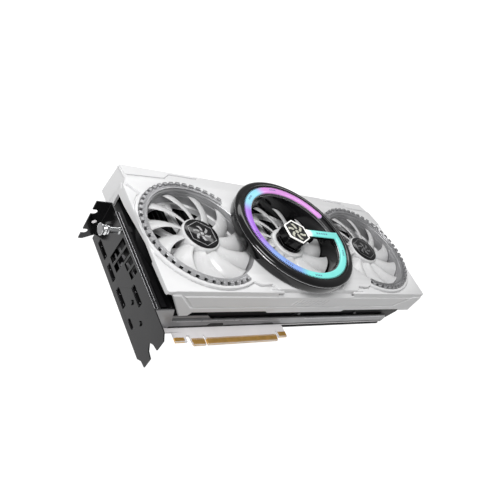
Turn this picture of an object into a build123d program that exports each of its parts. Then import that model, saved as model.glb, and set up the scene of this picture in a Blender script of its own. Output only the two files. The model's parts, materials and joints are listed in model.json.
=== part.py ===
"""Graphics card with three fans, a two-slot bracket and a lit centre ring.

The card lies on its backplate: +X runs from the bracket to the tail, +Y from the edge
connector to the power sockets, and +Z from the backplate to the fans. The origin is at
the middle of the card's underside. Every sketch is drawn in card coordinates, which
start at the bracket's outer face, the foot of the gold contacts and the board's back.
"""
from build123d import *
from math import cos, radians, sin
import os

# ---- driving dimensions, mm -------------------------------------------------------------
# Shroud, in card coordinates
HEAD_X, TAIL_X = 11.0, 312.0       # ends of the shroud
LOW_Y, TOP_Y = 16.9, 139.8         # its long edges
FACE_Z = 44.0                      # its fan face
SKIRT_Z = 15.0                     # the lowest edge of its walls
WALL = 2.2

# Fans
FANS = {"left": 63.3, "centre": 156.0, "right": 259.8}
FAN_Y = 75.0
BLADE_COUNT = 11
BLADE_R = 44.6
DUCT_R, DUCT_FOOT = 45.3, 30.2
HUB_R = 16.4
HUB_TOP, HUB_FOOT = 42.0, 30.6
SHAFT_R = 1.5
RUNNING_GAP = 0.05                 # radial clearance of the shaft in its bearing

# Centre ring and its light
RING_R = 60.5
RING_SPLIT_Z = 52.7
RING_TOP_Z = 56.5
LIGHT_IN, LIGHT_OUT = 46.4, 53.0
LIGHT_Z = 56.0
LIGHT_START, LIGHT_END = 30.0, 364.0
HEXAGON_R = 14.0
ARM_W = 6.8

# Toothed rings round the outer fans
TOOTHED_IN, TOOTHED_ROOT, TOOTHED_TIP = 46.2, 50.3, 52.3
TOOTHED_RIM, TOOTHED_TOP = 44.4, 45.9
TOOTH_COUNT, TOOTH_W = 50, 3.8

# Circuit board and edge connector
BOARD_T = 1.57
BOARD_X = (2.0, 282.0)
BOARD_Y = (11.0, 134.0)
CORNER_CUT_X, CORNER_CUT_Y = 16.0, 120.0   # the corner cut off beside the bracket
KEY_X, KEY_W = 59.05, 1.9          # the connector's key notch
SHORT_BLOCK, LONG_BLOCK = 11.65, 71.65
CONTACT_PITCH, CONTACT_W, CONTACT_L, CONTACT_T = 1.0, 0.7, 5.6, 0.04
SKIRT_Y = 8.3                      # where the connector leaves the board's edge
GPU_X, GPU_Y = 105.0, 75.0

# Two-slot bracket
SHEET = 0.86
BRACKET_Z = (-2.9, 35.84)
FLANGE_Y = 105.0                   # outer side of the screw flange
FLANGE_DEPTH = 11.43
TONGUE_Y = -15.0
TONGUE_W, SLOT_PITCH = 10.19, 20.32
TONGUE_OFFSET = 4.12
SCREW_SLOT_W, SCREW_SLOT_Z = 4.42, 5.0
FLANGE_HOLE_R, FLANGE_HOLE = 2.0, (-5.6, 15.2)
PORT_Z, UPPER_PORT_Z = 4.6, 23.0   # middles of the two rows of sockets

# Button on the bracket
BUTTON_Y, BUTTON_Z = 80.5, 32.2
BUTTON_R, NECK_R = 4.4, 2.6
BUTTON_REACH, BUTTON_L = 15.0, 7.0

# Backplate and cooler
BACK_Z = -3.4
PLATE_T = 1.6
BACKPLATE_X = 283.0
FIN_Z = (8.6, 23.0)
FIN_PITCH, FIN_SLOT = 4.6, 3.2
PIPE_R = 3.0
RAIL_Z = 10.4
RAIL_BLOCK_Z = 23.4                # top of the rail's head, beside the bracket
RAIL_Y = (16.0, 17.4)

# ---- frame ------------------------------------------------------------------------------
X0 = -(TAIL_X - BUTTON_REACH) / 2
Y0 = -(TOP_Y + TONGUE_Y) / 2
Z0 = -BACK_Z


def level(z):
    """Horizontal plane at a height above the board's back, in card X and Y."""
    return Plane((X0, Y0, Z0 + z), x_dir=(1, 0, 0), z_dir=(0, 0, 1))


def across(x):
    """Upright plane square to the card's length, in card Y and Z."""
    return Plane((X0 + x, Y0, Z0), x_dir=(0, 1, 0), z_dir=(1, 0, 0))


def along(y):
    """Upright plane along the card's length that faces -Y, in card X and Z."""
    return Plane((X0, Y0 + y, Z0), x_dir=(1, 0, 0), z_dir=(0, -1, 0))


def block(x, y, z, mode=Mode.ADD):
    """Box between pairs of card coordinates."""
    with BuildSketch(level(z[0])) as plan:
        with Locations(((x[0] + x[1]) / 2, (y[0] + y[1]) / 2)):
            Rectangle(x[1] - x[0], y[1] - y[0])
    extrude(plan.sketch, amount=z[1] - z[0], mode=mode)


def disc(x, y, radius, z, mode=Mode.ADD):
    """Upright cylinder between two heights."""
    with BuildSketch(level(z[0])) as plan:
        with Locations((x, y)):
            Circle(radius)
    extrude(plan.sketch, amount=z[1] - z[0], mode=mode)


def tube(x, y, inner, outer, z):
    """Upright ring between two heights."""
    with BuildSketch(level(z[0])) as plan:
        with Locations((x, y)):
            Circle(outer)
            Circle(inner, mode=Mode.SUBTRACT)
    extrude(plan.sketch, amount=z[1] - z[0])


def sector(start, end, radius):
    """Pie slice for cutting an arc out of a ring; it stays under a half turn."""
    middle = (start + end) / 2
    reach = radius / cos(radians((end - start) / 2))
    corners = [(0, 0)]
    for angle, length in ((start, radius), (middle, reach), (end, radius)):
        corners.append((length * cos(radians(angle)), length * sin(radians(angle))))
    Polygon(*corners, align=None, mode=Mode.SUBTRACT)


def save(piece, name):
    piece.part.label = name
    export_step(piece.part, f"parts/{name}.step")


os.makedirs("parts", exist_ok=True)
RING_X = FANS["centre"]

# ---- shroud -----------------------------------------------------------------------------
outline = [
    (HEAD_X, LOW_Y), (TAIL_X, LOW_Y), (TAIL_X, TOP_Y - 27), (TAIL_X - 5.5, TOP_Y - 9),
    (TAIL_X - 8.5, TOP_Y - 7.5), (TAIL_X - 13.5, TOP_Y), (HEAD_X + 2.4, TOP_Y),
    (HEAD_X, TOP_Y - 20),
]
with BuildPart() as shroud:
    with BuildSketch(level(SKIRT_Z)):
        Polygon(*outline, align=None)
    extrude(amount=FACE_Z - SKIRT_Z)
    chamfer(shroud.faces().sort_by(Axis.Z)[-1].edges(), length=0.8)
    with BuildSketch(level(SKIRT_Z - 1)):
        Polygon(*outline, align=None)
        offset(amount=-WALL, kind=Kind.INTERSECTION, mode=Mode.REPLACE)
    extrude(amount=FACE_Z - SKIRT_Z + 1 - WALL, mode=Mode.SUBTRACT)
    # the head wall is only a rim, except for a strip beside the top edge
    with BuildSketch(across(HEAD_X - 1)):
        Polygon((LOW_Y - 1, SKIRT_Z - 1), (TOP_Y - 12, SKIRT_Z - 1), (TOP_Y - 19, 31),
                (TOP_Y - 24, FACE_Z - 5.5), (LOW_Y - 1, FACE_Z - 5.5), align=None)
    extrude(amount=WALL + 3.5, mode=Mode.SUBTRACT)
    # the lower long wall starts with a rake and steps along its lower edge
    with BuildSketch(along(LOW_Y + WALL + 0.5)):
        Polygon((HEAD_X - 1, SKIRT_Z - 1), (HEAD_X - 1, FACE_Z - 2), (HEAD_X + 1.4, FACE_Z - 2),
                (HEAD_X + 21.7, SKIRT_Z), (HEAD_X + 21.7, SKIRT_Z - 1), align=None)
        Polygon((41, SKIRT_Z - 1), (41, SKIRT_Z), (43.5, 18.5), (114, 18.5), (117, 16.4),
                (207, 16.4), (209.5, 18.5), (294, 18.5), (296.5, SKIRT_Z + 2),
                (TAIL_X + 1, SKIRT_Z + 2), (TAIL_X + 1, SKIRT_Z - 1), align=None)
    extrude(amount=WALL + 1.5, mode=Mode.SUBTRACT)
    # long shallow panel in the lower wall
    with BuildSketch(along(LOW_Y)):
        Polygon((39, 35), (46.5, 24.5), (275, 24.5), (286, 35), align=None)
    extrude(amount=-0.8, mode=Mode.SUBTRACT)
    # bevelled step under the centre ring
    with BuildSketch(across(118)):
        Polygon((LOW_Y - 1, FACE_Z - 5), (LOW_Y - 1, FACE_Z + 1), (LOW_Y + 3.2, FACE_Z + 1),
                (LOW_Y + 3.2, FACE_Z - 0.4), (LOW_Y + 0.6, FACE_Z - 5), align=None)
    extrude(amount=83, mode=Mode.SUBTRACT)
    # fan openings and seats for the toothed rings
    disc(RING_X, FAN_Y, DUCT_R + 2.3, (FACE_Z - WALL - 1, FACE_Z + 1), Mode.SUBTRACT)
    for x in (FANS["left"], FANS["right"]):
        disc(x, FAN_Y, TOOTHED_TIP + 0.9, (FACE_Z - 1, FACE_Z + 1), Mode.SUBTRACT)
        disc(x, FAN_Y, DUCT_R + 1, (FACE_Z - WALL - 1, FACE_Z), Mode.SUBTRACT)
    # cooling slots along the top wall
    with BuildSketch(along(TOP_Y + 1)):
        with GridLocations(24, 0, 9, 1):
            with Locations(((HEAD_X + TAIL_X) / 2, 30)):
                SlotOverall(16, 5)
    extrude(amount=WALL + 2, mode=Mode.SUBTRACT)
save(shroud, "shroud")

# ---- ducts of the outer fans, a pair of rings under the shroud ---------------------------
with BuildPart() as duct_rings:
    for x in (FANS["left"], FANS["right"]):
        tube(x, FAN_Y, DUCT_R, DUCT_R + 0.9, (DUCT_FOOT, FACE_Z - 1))
        tube(x, FAN_Y, DUCT_R + 0.9, DUCT_R + 1.8, (DUCT_FOOT, FACE_Z - WALL))
    disc(RING_X, FAN_Y, DUCT_R + 2.3, (DUCT_FOOT, FACE_Z), Mode.SUBTRACT)
save(duct_rings, "duct_rings")

# ---- toothed rings round the outer fans -------------------------------------------------
for side, gap in (("left", (-61, 46)), ("right", (134, 241))):
    with BuildPart() as toothed_ring:
        with BuildSketch(level(FACE_Z - 1)):
            with Locations((FANS[side], FAN_Y)):
                Circle(TOOTHED_TIP)
                Circle(TOOTHED_IN, mode=Mode.SUBTRACT)
                sector(*gap, 2 * TOOTHED_TIP)
        extrude(amount=TOOTHED_RIM - FACE_Z + 1)
        with BuildSketch(level(TOOTHED_RIM)):
            with Locations((FANS[side], FAN_Y)):
                with PolarLocations((TOOTHED_ROOT + TOOTHED_TIP) / 2 - 0.1, TOOTH_COUNT):
                    Rectangle(TOOTHED_TIP - TOOTHED_ROOT, TOOTH_W)
                sector(gap[0] - 2, gap[1] + 2, 2 * TOOTHED_TIP)
        extrude(amount=TOOTHED_TOP - TOOTHED_RIM)
    save(toothed_ring, f"toothed_ring_{side}")

# ---- centre ring ------------------------------------------------------------------------
with BuildPart() as ring_base:
    tube(RING_X, FAN_Y, DUCT_R, RING_R, (FACE_Z, RING_SPLIT_Z))
    tube(RING_X, FAN_Y, DUCT_R, DUCT_R + 2, (DUCT_FOOT, FACE_Z))
save(ring_base, "centre_ring_base")

with BuildPart() as ring_trim:
    tube(RING_X, FAN_Y, RING_R - 4, RING_R + 0.2, (RING_SPLIT_Z, RING_SPLIT_Z + 0.6))
save(ring_trim, "centre_ring_trim")

with BuildPart() as ring_top:
    with BuildSketch(Plane((X0 + RING_X, Y0 + FAN_Y, Z0), x_dir=(1, 0, 0), z_dir=(0, -1, 0))):
        with BuildLine():
            seat, brow = RING_SPLIT_Z + 0.6, RING_TOP_Z - 0.2
            Polyline((57.5, RING_TOP_Z), (54, RING_TOP_Z), (LIGHT_OUT + 0.3, LIGHT_Z),
                     (LIGHT_OUT + 0.1, LIGHT_Z), (LIGHT_OUT + 0.1, LIGHT_Z - 1.2),
                     (LIGHT_IN - 0.1, LIGHT_Z - 1.2), (LIGHT_IN - 0.1, seat),
                     (RING_R + 0.4, seat), (RING_R + 0.4, seat + 0.7))
            ThreePointArc((RING_R + 0.4, seat + 0.7), (59.8, RING_TOP_Z - 0.9), (57.5, RING_TOP_Z))
        make_face()
    revolve(axis=Axis((X0 + RING_X, Y0 + FAN_Y, 0), (0, 0, 1)))
save(ring_top, "centre_ring_top")

with BuildPart() as ring_lip:
    tube(RING_X, FAN_Y, DUCT_R, LIGHT_IN - 0.1, (RING_SPLIT_Z, LIGHT_Z - 1.2))
save(ring_lip, "centre_ring_lip")

with BuildPart() as light_ring:
    with BuildSketch(level(LIGHT_Z - 1.2)):
        with Locations((RING_X, FAN_Y)):
            Circle(LIGHT_OUT)
            Circle(LIGHT_IN, mode=Mode.SUBTRACT)
            sector(LIGHT_END - 360, LIGHT_START, 2 * LIGHT_OUT)
        middle = (LIGHT_IN + LIGHT_OUT) / 2
        with Locations((RING_X + middle * cos(radians(LIGHT_START)),
                        FAN_Y + middle * sin(radians(LIGHT_START)))):
            Circle((LIGHT_OUT - LIGHT_IN) / 2)
        with Locations((RING_X + (HEXAGON_R + LIGHT_IN) / 2, FAN_Y)):
            Rectangle(LIGHT_IN - HEXAGON_R + 2, ARM_W)
        with Locations((RING_X, FAN_Y)):
            RegularPolygon(HEXAGON_R, 6, rotation=90, mode=Mode.SUBTRACT)
    extrude(amount=1.2)
save(light_ring, "light_ring")

with BuildPart() as hexagon_housing:
    with BuildSketch(level(45.5)):
        with Locations((RING_X, FAN_Y)):
            RegularPolygon(HEXAGON_R, 6, rotation=90)
    extrude(amount=LIGHT_Z - 1.2 - 45.5)
    block((RING_X + HEXAGON_R - 4, RING_X + DUCT_R - 0.2), (FAN_Y - ARM_W / 2, FAN_Y + ARM_W / 2),
          (LIGHT_Z - 4, LIGHT_Z - 1.2))
    disc(RING_X + 38, FAN_Y, 2.6, (46.2, LIGHT_Z - 4))
save(hexagon_housing, "hexagon_housing")

with BuildPart() as hexagon_light:
    with BuildSketch(level(LIGHT_Z - 1.2)):
        with Locations((RING_X, FAN_Y)):
            RegularPolygon(HEXAGON_R - 0.1, 6, rotation=90)
            RegularPolygon(HEXAGON_R - 2, 6, rotation=90, mode=Mode.SUBTRACT)
    extrude(amount=1.2)
save(hexagon_light, "hexagon_light")

with BuildPart() as hexagon_badge:
    with BuildSketch(level(LIGHT_Z - 1.2)):
        with Locations((RING_X, FAN_Y)):
            RegularPolygon(HEXAGON_R - 2.1, 6, rotation=90)
    extrude(amount=0.8)
save(hexagon_badge, "hexagon_badge")

# ---- fans: made once about their own axis, then placed three times -----------------------
def blade_section(radius, angle, chord, pitch):
    """One blade section, on a plane square to the radius."""
    out = (cos(radians(angle)), sin(radians(angle)), 0)
    plane = Plane((radius * out[0], radius * out[1], 36.6), x_dir=(-out[1], out[0], 0), z_dir=out)
    with BuildSketch(plane) as section:
        Rectangle(chord, 1.3, rotation=pitch)
    return section.sketch


with BuildPart() as blade:
    loft([blade_section(HUB_R - 0.8, 0, 11, 44), blade_section(30, 8, 17, 34),
          blade_section(BLADE_R - 0.9, 20, 21, 25)])

with BuildPart() as fan_rotor:
    with Locations((0, 0, (HUB_TOP + HUB_FOOT) / 2)):
        Cylinder(HUB_R, HUB_TOP - HUB_FOOT)
    with PolarLocations(0, BLADE_COUNT):
        add(blade.part)
    with Locations((0, 0, HUB_FOOT + 4.8)):
        Cylinder(HUB_R - 1.4, 10, mode=Mode.SUBTRACT)
    with Locations((0, 0, HUB_TOP - 3.2)):
        Cylinder(SHAFT_R + 1.6, 4.0)
    with Locations((0, 0, HUB_TOP - 4.4)):
        Cylinder(SHAFT_R, 6, mode=Mode.SUBTRACT)

with BuildPart() as hub_cap:
    with Locations((0, 0, HUB_TOP + 0.5)):
        Cylinder(HUB_R - 1.6, 1.0)
    chamfer(hub_cap.edges().filter_by(GeomType.CIRCLE).sort_by(Axis.Z)[-1], length=0.4)

shaft_low, shaft_high = 25.6, HUB_TOP - 1.4
with BuildPart() as fan_shaft:
    with Locations((0, 0, (shaft_low + shaft_high) / 2)):
        Cylinder(SHAFT_R, shaft_high - shaft_low)

with BuildPart() as fan_bearing:
    with Locations((0, 0, 31)):
        Cylinder(3.2, 10)
        Cylinder(SHAFT_R + RUNNING_GAP, 10, mode=Mode.SUBTRACT)

with BuildPart() as fan_stator:
    with Locations((0, 0, 33)):
        Cylinder(4.6, 5.5)
        with PolarLocations(7, 6):
            Box(6, 3.2, 5)
        with PolarLocations(10.6, 6):
            Box(1.8, 7.6, 5)
        Cylinder(3.2, 6, mode=Mode.SUBTRACT)

with BuildPart() as fan_mount:
    with Locations((0, 0, 26.8)):
        Cylinder(14, 5.2)
        with PolarLocations(29, 4, start_angle=45):
            Box(32, 5, 5.2)
        with Locations((0, 0, 0.6)):
            Cylinder(11, 6, mode=Mode.SUBTRACT)
        with Locations((0, 0, -1.9)):
            Cylinder(11.5, 1.4)
        Cylinder(4.6, 5.2)
        with Locations((0, 0, 1.2)):
            Cylinder(3.2, 5.2, mode=Mode.SUBTRACT)
    with Locations((0, 0, (24.2 + DUCT_FOOT) / 2)):
        with PolarLocations(44.4, 4, start_angle=45):
            Box(3.2, 8, DUCT_FOOT - 24.2)

fan_pieces = {"fan_rotor": fan_rotor, "hub_cap": hub_cap, "fan_shaft": fan_shaft,
              "fan_bearing": fan_bearing, "fan_stator": fan_stator, "fan_mount": fan_mount}
for side, x in FANS.items():
    for name, piece in fan_pieces.items():
        with BuildPart() as placed:
            with Locations((X0 + x, Y0 + FAN_Y, Z0)):
                add(piece.part)
        save(placed, f"{name}_{side}")

# ---- circuit board and edge connector ---------------------------------------------------
connector_x = (KEY_X - KEY_W / 2 - SHORT_BLOCK, KEY_X + KEY_W / 2 + LONG_BLOCK)
hook_x = (connector_x[1] + 1.9, connector_x[1] + 11.4)
tab_x = (connector_x[0] - 13.9, connector_x[0] - 3.8)
with BuildPart() as circuit_board:
    with BuildSketch(level(0)):
        Polygon((CORNER_CUT_X, BOARD_Y[1]), (BOARD_X[0], CORNER_CUT_Y), (BOARD_X[0], 14), (23, 14), (23, 12.4),
                (tab_x[0], 12.4), (hook_x[1], SKIRT_Y), (hook_x[1], RAIL_Y[0]), (BOARD_X[1], RAIL_Y[0]),
                (BOARD_X[1], BOARD_Y[1]), align=None)
        Polygon((tab_x[0], 12), (tab_x[0], 3.6), (hook_x[1], 3.3), (hook_x[1], 12), align=None)
        Polygon((connector_x[0], 5), (connector_x[0] + 1, 0), (connector_x[1] - 1, 0),
                (connector_x[1], 5), align=None)
        for x, width in ((tab_x[1] + 1.9, 3.8), (KEY_X, KEY_W), (connector_x[1] + 0.95, 1.9)):
            with Locations((x, 1)):
                SlotOverall(16, width, rotation=90, mode=Mode.SUBTRACT)
    extrude(amount=BOARD_T)
save(circuit_board, "circuit_board")

with BuildPart() as gold_contacts:
    for face_z in (-CONTACT_T, BOARD_T):
        with BuildSketch(level(face_z)):
            for first, count in ((connector_x[0] + 0.83, 11), (KEY_X + KEY_W / 2 + 0.83, 71)):
                with Locations((first + (count - 1) * CONTACT_PITCH / 2, 0.6 + CONTACT_L / 2)):
                    with GridLocations(CONTACT_PITCH, 0, count, 1):
                        Rectangle(CONTACT_W, CONTACT_L)
        extrude(amount=CONTACT_T)
save(gold_contacts, "gold_contacts")

# ---- components on the board ------------------------------------------------------------
with BuildPart() as gpu_package:
    block((GPU_X - 22, GPU_X + 22), (GPU_Y - 22, GPU_Y + 22), (BOARD_T, 4.0))
save(gpu_package, "gpu_package")

with BuildPart() as gpu_die:
    block((GPU_X - 13, GPU_X + 13), (GPU_Y - 12, GPU_Y + 12), (4.0, 4.8))
save(gpu_die, "gpu_die")

with BuildPart() as memory_chips:
    with BuildSketch(level(BOARD_T)):
        for y in (GPU_Y - 34, GPU_Y + 34):
            with Locations((GPU_X, y)):
                with GridLocations(16.5, 0, 4, 1):
                    Rectangle(12, 14)
        with Locations((GPU_X - 34, GPU_Y), (GPU_X + 34, GPU_Y)):
            with GridLocations(0, 17, 1, 2):
                Rectangle(14, 12)
    extrude(amount=1.2)
save(memory_chips, "memory_chips")

choke_xs, choke_pitch, choke_count = (168.0, 196.0), 11.5, 8
with BuildPart() as chokes:
    with BuildSketch(level(BOARD_T)):
        with Locations(*[(x, GPU_Y) for x in choke_xs]):
            with GridLocations(0, choke_pitch, 1, choke_count):
                Rectangle(8, 8)
    extrude(amount=5.6)
save(chokes, "chokes")

with BuildPart() as power_stages:
    with BuildSketch(level(BOARD_T)):
        with Locations(*[(x + 9.5, GPU_Y) for x in choke_xs]):
            with GridLocations(0, choke_pitch, 1, choke_count):
                Rectangle(5, 6)
    extrude(amount=1.0)
save(power_stages, "power_stages")

with BuildPart() as capacitors:
    with BuildSketch(level(BOARD_T)):
        with Locations(*[(x - 9, GPU_Y) for x in choke_xs]):
            with GridLocations(0, choke_pitch, 1, choke_count):
                Circle(3.1)
    extrude(amount=6.2)
save(capacitors, "capacitors")

SOCKET_XS, SOCKET_Z, SOCKET_Y = (206.0, 228.0, 250.0), 6.9, (124.5, 137.5)
with BuildPart() as power_sockets:
    with BuildSketch(along(SOCKET_Y[1])):
        with Locations(*[(x, SOCKET_Z) for x in SOCKET_XS]):
            Rectangle(19.6, 10.4)
            with Locations((0, 5.6)):
                Rectangle(5, 1.4)
    extrude(amount=SOCKET_Y[1] - SOCKET_Y[0])
    with BuildSketch(along(SOCKET_Y[1])):
        with Locations(*[(x, SOCKET_Z) for x in SOCKET_XS]):
            Rectangle(17.4, 8.2)
    extrude(amount=SOCKET_Y[1] - SOCKET_Y[0] - 1.5, mode=Mode.SUBTRACT)
save(power_sockets, "power_sockets")

with BuildPart() as socket_pins:
    with BuildSketch(along(SOCKET_Y[0] + 6)):
        with Locations(*[(x, SOCKET_Z) for x in SOCKET_XS]):
            with GridLocations(4.2, 4.2, 4, 2):
                Rectangle(1.1, 1.1)
    extrude(amount=4.5)
save(socket_pins, "socket_pins")

with BuildPart() as fan_headers:
    with BuildSketch(level(BOARD_T)):
        with Locations((150, 126), (30, 126)):
            Rectangle(10, 5)
    extrude(amount=5)
save(fan_headers, "fan_headers")

SWITCH_X, SWITCH_Y = 176.0, (128.0, 133.0)
SWITCH_Z = (BOARD_T, 5.6)
with BuildPart() as bios_switch:
    block((SWITCH_X - 4.5, SWITCH_X + 4.5), SWITCH_Y, SWITCH_Z)
    block((SWITCH_X - 2.5, SWITCH_X + 2.5), (SWITCH_Y[1] - 2.5, SWITCH_Y[1] + 1), (2.5, 4.7), Mode.SUBTRACT)
save(bios_switch, "bios_switch")

with BuildPart() as bios_slider:
    block((SWITCH_X - 2.2, SWITCH_X - 0.2), (SWITCH_Y[1] - 2.2, SWITCH_Y[1] + 2.4), (2.8, 4.4))
save(bios_slider, "bios_slider")

# ---- cooler -----------------------------------------------------------------------------
with BuildPart() as cold_plate:
    block((GPU_X - 30, GPU_X + 30), (GPU_Y - 28, GPU_Y + 28), (4.8, 8.6))
save(cold_plate, "cold_plate")

with BuildPart() as memory_pads:
    with BuildSketch(level(BOARD_T + 1.2)):
        for y in (GPU_Y - 34, GPU_Y + 34):
            with Locations((GPU_X, y)):
                with GridLocations(16.5, 0, 4, 1):
                    Rectangle(11, 12)
    extrude(amount=4.2)
save(memory_pads, "memory_pads")

PIPE_YS = [GPU_Y + offset_y for offset_y in (-24, -14.4, -4.8, 4.8, 14.4, 24)]
FIN_X, FIN_Y = (16.0, 299.0), (19.4, 134.0)
with BuildPart() as fin_stack:
    with BuildSketch(along(FIN_Y[1])):
        Polygon((FIN_X[0], FIN_Z[1]), (FIN_X[0], FIN_Z[0]), (BACKPLATE_X + 1, FIN_Z[0]), (BACKPLATE_X + 1, 2.4),
                (FIN_X[1] - 7.5, 2.4), (FIN_X[1], 12.4), (FIN_X[1], FIN_Z[1]), align=None)
    extrude(amount=FIN_Y[1] - FIN_Y[0])
    with BuildSketch(level(FIN_Z[0] + 7.5)):
        with Locations(((FIN_X[0] + FIN_X[1]) / 2, (FIN_Y[0] + FIN_Y[1]) / 2)):
            with GridLocations(FIN_PITCH, 0, 60, 1):
                Rectangle(FIN_SLOT, FIN_Y[1] - FIN_Y[0] + 2)
    extrude(amount=FIN_Z[1], mode=Mode.SUBTRACT)
    with BuildSketch(across(0)):
        with Locations(*[(y, FIN_Z[0] + PIPE_R) for y in PIPE_YS]):
            Rectangle(2 * PIPE_R + 0.2, 2 * PIPE_R + 0.2)
    extrude(amount=TAIL_X, mode=Mode.SUBTRACT)
    block((SOCKET_XS[0] - 11, SOCKET_XS[2] + 11), (SOCKET_Y[0] - 1, FIN_Y[1] + 1), (FIN_Z[0] - 1, 15),
          Mode.SUBTRACT)
save(fin_stack, "fin_stack")

with BuildPart() as heat_pipes:
    with BuildSketch(across(12)):
        with Locations(*[(y, FIN_Z[0] + PIPE_R) for y in PIPE_YS]):
            Circle(PIPE_R)
    extrude(amount=270)
save(heat_pipes, "heat_pipes")

with BuildPart() as lower_rail:
    block((BACKPLATE_X - 7, BACKPLATE_X - 1), (RAIL_Y[0], 133), (BOARD_T, 6))
    with BuildSketch(along(RAIL_Y[0])):
        Polygon((11, BOARD_T), (11, 8), (1.2, 8), (1.2, RAIL_BLOCK_Z), (25, RAIL_BLOCK_Z), (29.5, RAIL_Z),
                (279, RAIL_Z), (BACKPLATE_X, 7.6), (BACKPLATE_X, BOARD_T), align=None)
    extrude(amount=RAIL_Y[0] - RAIL_Y[1])
    # panel over the head of the fins
    with BuildSketch(along(RAIL_Y[1])):
        Polygon((24, BOARD_T), (24, 14), (60, 14), (66, 9), (66, BOARD_T), align=None)
    extrude(amount=-1)
save(lower_rail, "lower_rail")

with BuildPart() as upper_rail:
    with BuildSketch(along(136)):
        Polygon((CORNER_CUT_X, BOARD_T), (CORNER_CUT_X, RAIL_Z), (160, RAIL_Z), (164, 6),
                (SOCKET_XS[0] - 10.4, 6), (SOCKET_XS[0] - 10.4, BOARD_T), align=None)
    extrude(amount=1.8)
    block((SWITCH_X - 5, SWITCH_X + 5), (133, 137), (2.2, 14), Mode.SUBTRACT)
save(upper_rail, "upper_rail")

# ---- backplate --------------------------------------------------------------------------
SCREW_SPOTS = [(GPU_X + sx * 20.5, GPU_Y + sy * 20.5) for sx in (-1, 1) for sy in (-1, 1)]
with BuildPart() as backplate:
    with BuildSketch(level(BACK_Z)):
        Polygon((4, RAIL_Y[0]), (BACKPLATE_X, RAIL_Y[0]), (BACKPLATE_X, 136), (CORNER_CUT_X, 136),
                (4, CORNER_CUT_Y - 2), align=None)
    extrude(amount=PLATE_T)
    chamfer(backplate.edges().filter_by(Axis.Z), length=3)
    with BuildSketch(level(BACK_Z + PLATE_T)):
        Polygon((8, RAIL_Y[0] + 2), (BOARD_X[1] - 2, RAIL_Y[0] + 2), (BOARD_X[1] - 2, 133), (CORNER_CUT_X + 2, 133),
                (8, CORNER_CUT_Y - 5), align=None)
        offset(amount=-2, kind=Kind.INTERSECTION, mode=Mode.SUBTRACT)
    extrude(amount=-BACK_Z - PLATE_T)
    for x, y in SCREW_SPOTS:
        disc(x, y, 3.2, (BACK_Z - 1, 0), Mode.SUBTRACT)
    with BuildSketch(level(BACK_Z - 1)):
        with Locations((225, GPU_Y)):
            with GridLocations(7, 0, 10, 1):
                SlotOverall(70, 3.2, rotation=80)
    extrude(amount=PLATE_T + 2, mode=Mode.SUBTRACT)
save(backplate, "backplate")

with BuildPart() as retention_cross:
    with BuildSketch(level(-1.7)):
        with Locations((GPU_X, GPU_Y)):
            Rectangle(62, 7, rotation=45)
            Rectangle(62, 7, rotation=-45)
            Rectangle(20, 20)
    extrude(amount=0.9)
save(retention_cross, "retention_cross")

with BuildPart() as cooler_screws:
    for x, y in SCREW_SPOTS:
        disc(x, y, 2.6, (-3.1, -1.7))
save(cooler_screws, "cooler_screws")

# ---- bracket ----------------------------------------------------------------------------
tongue_a = BRACKET_Z[0] + TONGUE_OFFSET
tongue_b = tongue_a + SLOT_PITCH
DISPLAY_YS, HDMI_Y, USB_Y = (87.0, 41.5), 64.8, 18.6
DISPLAY_SIZE, HDMI_SIZE, USB_SIZE = (17.0, 5.2), (15.2, 5.0), (9.2, 3.4)
UPPER_DISPLAY_Y = 29.0
with BuildPart() as bracket:
    with BuildSketch(across(0)):
        Polygon((FLANGE_Y, BRACKET_Z[0]), (FLANGE_Y, BRACKET_Z[1]), (-10.5, BRACKET_Z[1]),
                (TONGUE_Y, tongue_b + TONGUE_W), (TONGUE_Y, tongue_b), (-9.5, tongue_b - 1.4),
                (-5.6, tongue_b - 4.5), (-9.5, tongue_a + TONGUE_W + 1.2),
                (TONGUE_Y, tongue_a + TONGUE_W), (TONGUE_Y, tongue_a), (-9.5, tongue_a - 0.6),
                (-5.4, BRACKET_Z[0]), align=None)
        # sockets of the two rows
        with Locations(*[(y, PORT_Z) for y in DISPLAY_YS], (UPPER_DISPLAY_Y, UPPER_PORT_Z)):
            RectangleRounded(DISPLAY_SIZE[0], DISPLAY_SIZE[1], 0.8, mode=Mode.SUBTRACT)
        with Locations((HDMI_Y, PORT_Z)):
            RectangleRounded(HDMI_SIZE[0], HDMI_SIZE[1], 0.8, mode=Mode.SUBTRACT)
        with Locations((USB_Y, PORT_Z)):
            SlotOverall(USB_SIZE[0], USB_SIZE[1], mode=Mode.SUBTRACT)
        with Locations((29.5, 14.8), (11.5, 14.8)):
            Circle(1.1, mode=Mode.SUBTRACT)
        # vents, two long ones and two short ones
        for y, low_z, high_z in ((74.6, 10.2, 33.4), (65.9, 10.6, 33.5), (56.8, 23.2, 33.6), (48.2, 24.2, 33.7)):
            lean = (high_z - low_z) * 0.055
            Polygon((y, low_z), (y - 6.5, low_z), (y - 6.5 - lean, high_z), (y - lean, high_z),
                    align=None, mode=Mode.SUBTRACT)
    extrude(amount=SHEET)
    # screw flange, bent towards the outside
    with BuildSketch(Plane((X0, Y0 + FLANGE_Y, Z0), x_dir=(1, 0, 0), z_dir=(0, -1, 0))):
        Polygon((0, BRACKET_Z[0] + 5), (0, BRACKET_Z[1]), (-FLANGE_DEPTH, BRACKET_Z[1]),
                (-FLANGE_DEPTH, BRACKET_Z[0]), (-FLANGE_DEPTH + 3, BRACKET_Z[0]), align=None)
        for z in (SCREW_SLOT_Z, SCREW_SLOT_Z + SLOT_PITCH):
            with Locations((-FLANGE_DEPTH, z)):
                SlotOverall(9.0, SCREW_SLOT_W, mode=Mode.SUBTRACT)
        with Locations(FLANGE_HOLE):
            Circle(FLANGE_HOLE_R, mode=Mode.SUBTRACT)
    extrude(amount=SHEET)
    # stiffening fold along the fan side
    block((0, 5.0), (8, 96), (BRACKET_Z[1] - SHEET, BRACKET_Z[1]))
save(bracket, "bracket")


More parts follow.
